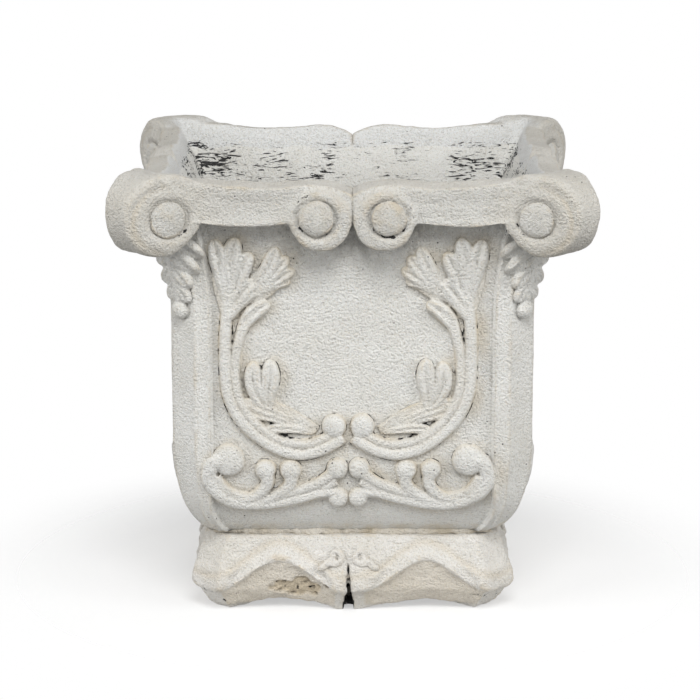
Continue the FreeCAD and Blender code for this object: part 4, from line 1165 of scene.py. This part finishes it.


# %% [markdown]
# One carved casting is turned to the four corners, as castings from one mould are alike. It is
# weathered there, so the noise differs, and stained: pale inside the mouth, warm on its top and its
# horns, and dark in its cracks, with a painted shadow under each eye.

# %% rim
RIM_VOXEL, RIM_ROUNDS = 1.5 * MM, 4
INSIDE_SPAN, FORE_SPAN, TOP_SPAN, HORN_REACH = (0.1, 0.65), (0.3, 0.6), (0.2, 0.6), (195, 215)
EDGE_GRAIN, EDGE_SPAN = (3, 1.0), (0.0, 0.5)
RIM_WEATHER = (28, 1.2), (9, 0.4), (4, 0.25)
RIM_WARM, RIM_WARM_SIDE, EDGE_WARM, EDGE_SPECKS = 0.13, 0.3, 0.3, 0.35
rim = remeshed(cad_copy("rim_scroll_front_right"), RIM_VOXEL, RIM_ROUNDS)
carve_rim(rim)
for corner, turn in CORNERS.items():
    copy = turned(rim, turn)
    weather(copy, *RIM_WEATHER)
    points, _, normals = mesh_arrays(copy)
    outward = outwardness(points, normals) / np.linalg.norm(points[:, :2], axis=1)
    inside, fore = step(-outward, *INSIDE_SPAN), step(outward, *FORE_SPAN)
    add_values(copy, "streak", torn(points) * inside)
    edge = disc_edge(points) * fore
    speckled = EDGE_SPECKS * edge * step(rough(points, EDGE_GRAIN), *EDGE_SPAN)
    # Dark cracks, a painted shadow under each eye, and dark specks on the disc edge.
    add_values(copy, "tear_and_shade", np.clip((cracked(points) + eye_shadow(points)) * fore + speckled, 0, 1))
    on_horn = step_mm(np.abs(points[:, :2]).sum(1) / ROOT_TWO, *HORN_REACH)
    aged = RIM_WARM_SIDE + (1 - RIM_WARM_SIDE) * np.maximum(on_horn, step(normals[:, 2], *TOP_SPAN))
    add_values(copy, "warm", (RIM_WARM * aged + EDGE_WARM * edge) * (1 - inside))
    add_values(copy, "pale", inside)
    finish_piece(f"rim_scroll_{corner}.worn", copy, rim_stone, "bowl_stone", f"rim_scroll_{corner}")
print("rim faces:", len(rim.polygons))

# %% [markdown]
# ## Plinth
# The plinth is a casting of its own, with two arches on each side. Its arches are plain scoops in the
# CAD model, and cutting new ones would leave sharp seams. So its CAD shape is kept, with worn edges, a
# bell with a raised edge is drawn over each arch, and the scoop is filled in part, so it looks shallow.

# %% arches of the plinth
ARCH_SPAN_HALF, ARCH_RECESS, ARCH_MIDDLE, ARCH_FOOT = mm(50, 17, 63, 123)
ARCH_LEAN = math.atan2(26, 50)
ARCH_LIP_RISE, ARCH_LIP_WIDTH, ARCH_LIP_AWAY = mm(2.2, 3.6, 1.0)
ARCH_LOW, ARCH_RISE, ARCH_SPREAD, ARCH_FILL, ARCH_LIFT = 17 * MM, 32 * MM, 37 * MM, 0.6, 4 * MM
FACE_HEIGHTS, FACE_HALVES = mm(0, 20, 42, 68), mm(123, 134.5, 134.5, 127)
BELL_SLOPE, LIFT_SHARE = 0.8, 0.62
GROOVE_AWAY, GROOVE_DEPTH, GROOVE_WIDTH = mm(11, 1, 3)
PLINTH_VOXEL, PLINTH_ROUNDS = 1.5 * MM, 3
OUTER_REACH, OUTER_HEIGHTS, OUTWARD_SPAN, LIP_REACH = (92, 98), (2, 6), (0, 0.03), (112, 120)
SCOOP_EDGE, SCOOP_START, BELL_EDGE, FILL_EDGE = (0.6, 2.0), (8, 12), (-2.5, -0.5), (-2, 0.5)
arch_radius = (ARCH_SPAN_HALF ** 2 + ARCH_RECESS ** 2) / (2 * ARCH_RECESS)
arch_axis = ARCH_FOOT - ARCH_RECESS + arch_radius / math.cos(ARCH_LEAN)


def arch_distance(points):
    """Distance of each point outside the nearest scoop of its side."""
    along = along_side(points) - ARCH_MIDDLE
    across = (arch_axis - reach_of(points)) * math.cos(ARCH_LEAN) + points[:, 2] * math.sin(ARCH_LEAN)
    return np.hypot(along, across) - arch_radius


plinth = remeshed(cad_copy("plinth_base"), PLINTH_VOXEL, PLINTH_ROUNDS)
points, _, normals = mesh_arrays(plinth)
x, y, z = points.T
reach, along = reach_of(points), along_side(points)
sideways = np.abs(x) > np.abs(y)
outer = step_mm(reach, *OUTER_REACH) * step_mm(z, *OUTER_HEIGHTS)
outer *= step(outwardness(points, normals), *OUTWARD_SPAN)
above_bell = BELL_SLOPE * (z - ARCH_LOW - bead(along - ARCH_MIDDLE, ARCH_RISE, ARCH_SPREAD))
in_scoop = outer * (1 - step_mm(arch_distance(points), *SCOOP_EDGE)) * step_mm(along, *SCOOP_START)
under_bell = in_scoop * (1 - step_mm(above_bell, *BELL_EDGE))
groove = bead(above_bell - GROOVE_AWAY, 1.0, GROOVE_WIDTH) * outer * (1 - under_bell)
change = bead(above_bell - ARCH_LIP_AWAY, ARCH_LIP_RISE, ARCH_LIP_WIDTH) * outer
change = change * step_mm(reach, *LIP_REACH) - GROOVE_DEPTH * groove
sunk = np.clip(np.interp(z, FACE_HEIGHTS, FACE_HALVES) - reach, 0, None)
filled = sunk * in_scoop * (ARCH_FILL + (1 - ARCH_FILL) * step_mm(above_bell, *FILL_EDGE))
print("plinth faces:", len(plinth.polygons), "points under the bells:", int((under_bell > 0.5).sum()))

# %% [markdown]
# A chip is broken out of the left arch on the front, and a crack runs up from the cleft in the middle
# of each side. Booleans could cut both, but broken stone has a ragged edge. So noise frays their
# outlines, and the points inside them are pushed in. The cleft is shifted a little, as the ornament is.

# %% shape of the plinth
CLEFT_HALF, CLEFT_TOP, CRACK_TOP, CRACK_DEPTH = mm(5, 38, 47, 5)
CHIP_MIDDLE, CHIP_SIZE, CHIP_DEPTH = (-48 * MM, 21 * MM), (22 * MM, 9 * MM), 3.0 * MM
CHIP_FRAY, CHIP_EDGE, CHIP_ROUGH = (8, 0.6), (0.75, 1.0), (5, 2.5 * MM)
CRACK_WANDER, CRACK_EDGE = (14, 1.6 * MM), (0.5, 1.2)
CRACK_TIP, CRACK_WIDEN, CRACK_FADE = mm(1.4, 2.4, 8)
LIFT_REACH, LIFT_HEIGHTS, DRIFT_SPAN = (84, 100), (0, 18), (8, 22)
PLINTH_WEATHER = (30, 1.2), (10, 0.8), (4.5, 0.55)
chip = np.hypot(*((points[:, (0, 2)] - CHIP_MIDDLE) / CHIP_SIZE).T)
chip = (1 - step(chip + rough(points, CHIP_FRAY), *CHIP_EDGE)) * under_bell * (y < 0)
change -= chip * (CHIP_DEPTH + rough(points, CHIP_ROUGH))
crack = np.abs(along + rough(points, CRACK_WANDER))
crack = crack / (CRACK_TIP + CRACK_WIDEN * (1 - z / CRACK_TOP))
crack = (1 - step(crack, *CRACK_EDGE)) * outer * (1 - step(z, CRACK_TOP - CRACK_FADE, CRACK_TOP))
change -= CRACK_DEPTH * crack
points += normals * change[:, None]
x += np.where(sideways, filled * np.sign(x), 0)
y += np.where(sideways, 0, filled * np.sign(y))
lift = bead(along - ARCH_MIDDLE, ARCH_LIFT, LIFT_SHARE * ARCH_SPREAD) * step_mm(reach, *LIFT_REACH)
z += lift * (1 - step_mm(z, *LIFT_HEIGHTS))
set_points(plinth, points)
weather(plinth, *PLINTH_WEATHER)
points = mesh_arrays(plinth)[0]
x, y, z = points.T
drift = ORNAMENT_SHIFT * (1 - step_mm(along, *DRIFT_SPAN))
x -= np.where(sideways, 0, drift * np.sign(y))
y += np.where(sideways, drift * np.sign(x), 0)
set_points(plinth, points)
print("points in the chip:", int((chip > 0.5).sum()), "and in the cracks:", int((crack > 0.5).sum()))

# %% [markdown]
# The scoops, the chip and a band above each bell are warm, and the scoops get a little painted shade.
# The cleft and its crack are dark, and specks of wash have come off the feet. The shares that shaped
# the plinth also place its stains, so the stains fit it without being painted.

# %% stains of the plinth
SCOOP_WARM, GROOVE_WARM, CHIP_WARM, SCOOP_SHADE = 0.3, 0.25, 0.4, 0.06
CLEFT_DARK, CRACK_TEAR, CHIP_DARK, SPECK_DARK = 0.78, 0.66, 0.36, 0.7
CLEFT_NEAR, CLEFT_FAR = mm(100, 128)
FOOT_PLACES, FOOT_HEIGHTS = (96, 112), (14, 34)
SPECK_PATCHES, SPECK_EDGE = ((4, 1.0), (11, 0.5)), (0.3, 0.5)
warm = SCOOP_WARM * under_bell + GROOVE_WARM * groove + CHIP_WARM * chip
add_values(plinth, "warm", np.clip(warm, 0, 1))
# A little painted shade in the scoops.
add_values(plinth, "painted_shade", SCOOP_SHADE * under_bell)
cleft = (along < CLEFT_HALF) * (z < CLEFT_TOP) * (reach < CLEFT_FAR) * (reach > CLEFT_NEAR)
cleft = np.maximum(CLEFT_DARK * cleft, CRACK_TEAR * crack)
at_foot = step_mm(along, *FOOT_PLACES) * (1 - step_mm(z, *FOOT_HEIGHTS)) * outer
specks = at_foot * step(rough(points, *SPECK_PATCHES), *SPECK_EDGE)
add_values(plinth, "tear_and_shade", np.clip(cleft + CHIP_DARK * chip + SPECK_DARK * specks, 0, 1))
finish_piece("plinth.worn", plinth, plinth_stone, "plinth_stone", "plinth_base")
print("specks on the feet:", int((specks > 0.5).sum()), "points")

# %% [markdown]
# ## Rosettes and mortar
# Small spirals sit beside the clefts of the plinth. They could be listed point by point, as the scrolls
# are, but a spiral follows a rule. So a formula winds their lines, and the carving tool sweeps them.

# %% rosettes
ROSETTE_REACH, ROSETTE_HEIGHT, ROSETTE_LIFT = 11, 51, 1.2 * MM
SPIRAL_TURNS, SPIRAL_START, SPIRAL_END = 1.15, 1.4, 7.4
PLINTH_TOP_HALF, PLINTH_SLOPE = 127 * MM, 7.5 / 26
SPIRAL_POINTS, SPIRAL_LEAN, SPIRAL_WIDTHS, SPIRAL_FOOT = 26, math.radians(35), (2.2, 3.0), 42
SPIRAL_TAIL = 11, 15
ROSETTE_VOXEL, ROSETTE_WEATHER = 1.0 * MM, (8, 0.6)


def on_plinth(x, z):
    """Middle line of a stroke on the sloping face of the plinth."""
    return x * MM, -(PLINTH_TOP_HALF + (PLINTH_TOP - z * MM) * PLINTH_SLOPE) - ROSETTE_LIFT, z * MM


spirals = []
for hand in (1, -1):
    turns = np.linspace(0, 1, SPIRAL_POINTS)
    radius = SPIRAL_START + (SPIRAL_END - SPIRAL_START) * turns
    angle = 2 * math.pi * SPIRAL_TURNS * (turns - 1) - SPIRAL_LEAN
    line = list(zip(hand * (ROSETTE_REACH + radius * np.cos(angle)),
                    ROSETTE_HEIGHT + radius * np.sin(angle)))
    line += [(hand * (ROSETTE_REACH + tail), SPIRAL_FOOT) for tail in SPIRAL_TAIL]
    spirals.append((line, *SPIRAL_WIDTHS))
rosette = remeshed(carve(spirals, "bead", FRONT, on_plinth, leaf=False), ROSETTE_VOXEL, 2)
rosettes = joined(*[turned(rosette, turn, shift=ORNAMENT_SHIFT) for turn, *_ in SIDES.values()])
weather(rosettes, ROSETTE_WEATHER)
finish_piece("plinth_rosettes.worn", rosettes, plinth_stone, "plinth_stone", "plinth_rosettes")
print("rosette faces:", len(rosettes.polygons))

# %% [markdown]
# The mortar between bowl and plinth is rough, and squeezed out of its joint. A bump in its material
# would not change its outline, so the points of its outer face are moved out with coarse noise.

# %% mortar
MORTAR_VOXEL, MORTAR_PROUD = mm(1.6, 2.8)
MORTAR_REACH, MORTAR_ENDS = (112, 118), (96, 108)
MORTAR_LUMPS = (9, 2.4 * MM), (4, 2.4 * MM)
mortar = remeshed(cad_copy("mortar_bed"), MORTAR_VOXEL, 2)
points, _, normals = mesh_arrays(mortar)
outward = step_mm(reach_of(points), *MORTAR_REACH)
outward *= 1 - step_mm(along_side(points), *MORTAR_ENDS)
squeezed = outward * (MORTAR_PROUD + rough(points, *MORTAR_LUMPS))
set_points(mortar, points + normals * squeezed[:, None])
finish_piece("mortar_bed.rough", mortar, mortar_stone, "mortar", "mortar_bed")
print("mortar faces:", len(mortar.polygons))

# %% [markdown]
# ## Floor, light and camera
# The planter stands on white paper in a studio. A sheet that is white all over would show its own
# shading, so a plain pale floor takes the soft shadow and fades into the white of the studio away from
# the planter.

# %% floor
FLOOR_HALF, FLOOR_NEAR, FLOOR_FAR, FLOOR_CLEAR = 6.0, 0.2, 0.4, 0.45
floor_mesh = bpy.data.meshes.new("floor")
floor_mesh.from_pydata([(-FLOOR_HALF, -FLOOR_HALF, 0), (FLOOR_HALF, -FLOOR_HALF, 0),
                        (FLOOR_HALF, FLOOR_HALF, 0), (-FLOOR_HALF, FLOOR_HALF, 0)], [], [(0, 1, 2, 3)])
floor = new_object("floor", floor_mesh)
paper = bpy.data.materials.new("studio paper")
paper.use_nodes = True
tree = paper.node_tree
tree.nodes.clear()
place = add_node(tree, "ShaderNodeTexCoord").outputs["Object"]
away = add_node(tree, "ShaderNodeVectorMath", {0: place}, operation="LENGTH").outputs["Value"]
span = {"Value": away, "From Min": FLOOR_NEAR, "From Max": FLOOR_FAR, "To Min": FLOOR_CLEAR}
fade = made(tree, "ShaderNodeMapRange", span, interpolation_type="SMOOTHSTEP")
sheet = made(tree, "ShaderNodeBsdfDiffuse", {"Color": colour("#FAFAFA")})
clear = made(tree, "ShaderNodeBsdfTransparent")
blend = made(tree, "ShaderNodeMixShader", {0: fade, 1: sheet, 2: clear})
add_node(tree, "ShaderNodeOutputMaterial", {"Surface": blend})
floor_mesh.materials.append(paper)
print("floor:", 2 * FLOOR_HALF, "m wide")

# %% [markdown]
# The light in the photo is soft and comes from all round. An image of a studio could give it, but
# lights can be set one by one. A large one hangs above and before the planter, one stands on each side,
# and weak ones stand in front and behind. The camera sees a white studio, which lights the planter only
# a little.

# %% lights
LIGHT_TARGET = Vector((0, 0, 0.2))
LIGHTS = {"key softbox": ((0.15, -1.6, 1.8), 1.0, 34), "front softbox": ((0, -2.5, 0.2), 1.6, 3.5),
          "right softbox": ((2.3, -1.2, 0.9), 1.4, 31), "left softbox": ((-2.3, -1.2, 0.9), 1.4, 33),
          "back softbox": ((0.4, 2.4, 1.0), 1.4, 8)}
STUDIO_FILL, STUDIO_WHITE = 0.26, 1.0
for name, (place, size, watts) in LIGHTS.items():
    data = bpy.data.lights.new(name, "AREA")
    data.size = size
    data.energy = watts
    light = new_object(name, data)
    light.location = place
    light.rotation_euler = (LIGHT_TARGET - Vector(place)).to_track_quat("-Z", "Y").to_euler()

world = bpy.data.worlds.new("studio")
bpy.context.scene.world = world
world.use_nodes = True
tree = world.node_tree
tree.nodes.clear()
path = add_node(tree, "ShaderNodeLightPath").outputs
seen = path["Is Camera Ray"]
for ray in ("Is Glossy Ray", "Is Transmission Ray"):
    seen = made(tree, "ShaderNodeMath", {0: seen, 1: path[ray]}, operation="MAXIMUM")
fill = made(tree, "ShaderNodeBackground", {"Color": colour("#FFFFFF"), "Strength": STUDIO_FILL})
backdrop = made(tree, "ShaderNodeBackground", {"Color": colour("#FFFFFF"), "Strength": STUDIO_WHITE})
choice = made(tree, "ShaderNodeMixShader", {0: seen, 1: fill, 2: backdrop})
add_node(tree, "ShaderNodeOutputWorld", {"Surface": choice})
print("lights:", list(LIGHTS))

# %% [markdown]
# The camera stands where the photographer's did, so the render can be laid beside the photo. It could
# be moved there by eye, but it was fitted to the seams and edges in the photo.

# %% camera
CAMERA_PLACE = (0.0, -2.357, 0.734)
CAMERA_PITCH = math.radians(12.7)
CAMERA_LENS, CAMERA_SENSOR, CAMERA_SHIFT = 138.7, 36, -0.0036
camera_data = bpy.data.cameras.new("camera")
camera_data.lens = CAMERA_LENS
camera_data.sensor_width = CAMERA_SENSOR
camera_data.shift_x = CAMERA_SHIFT
camera = new_object("camera", camera_data)
camera.location = CAMERA_PLACE
camera.rotation_euler = (math.pi / 2 - CAMERA_PITCH, 0, 0)
bpy.context.scene.camera = camera
bpy.context.scene.view_settings.view_transform = "Standard"
print("camera looks down by", round(math.degrees(CAMERA_PITCH), 1), "degrees")

# %% finish
for profile in PROFILES.values():
    bpy.data.objects.remove(profile)
print("pieces:", len(pieces), "triangles:", sum(len(p.data.loop_triangles) for p in pieces))
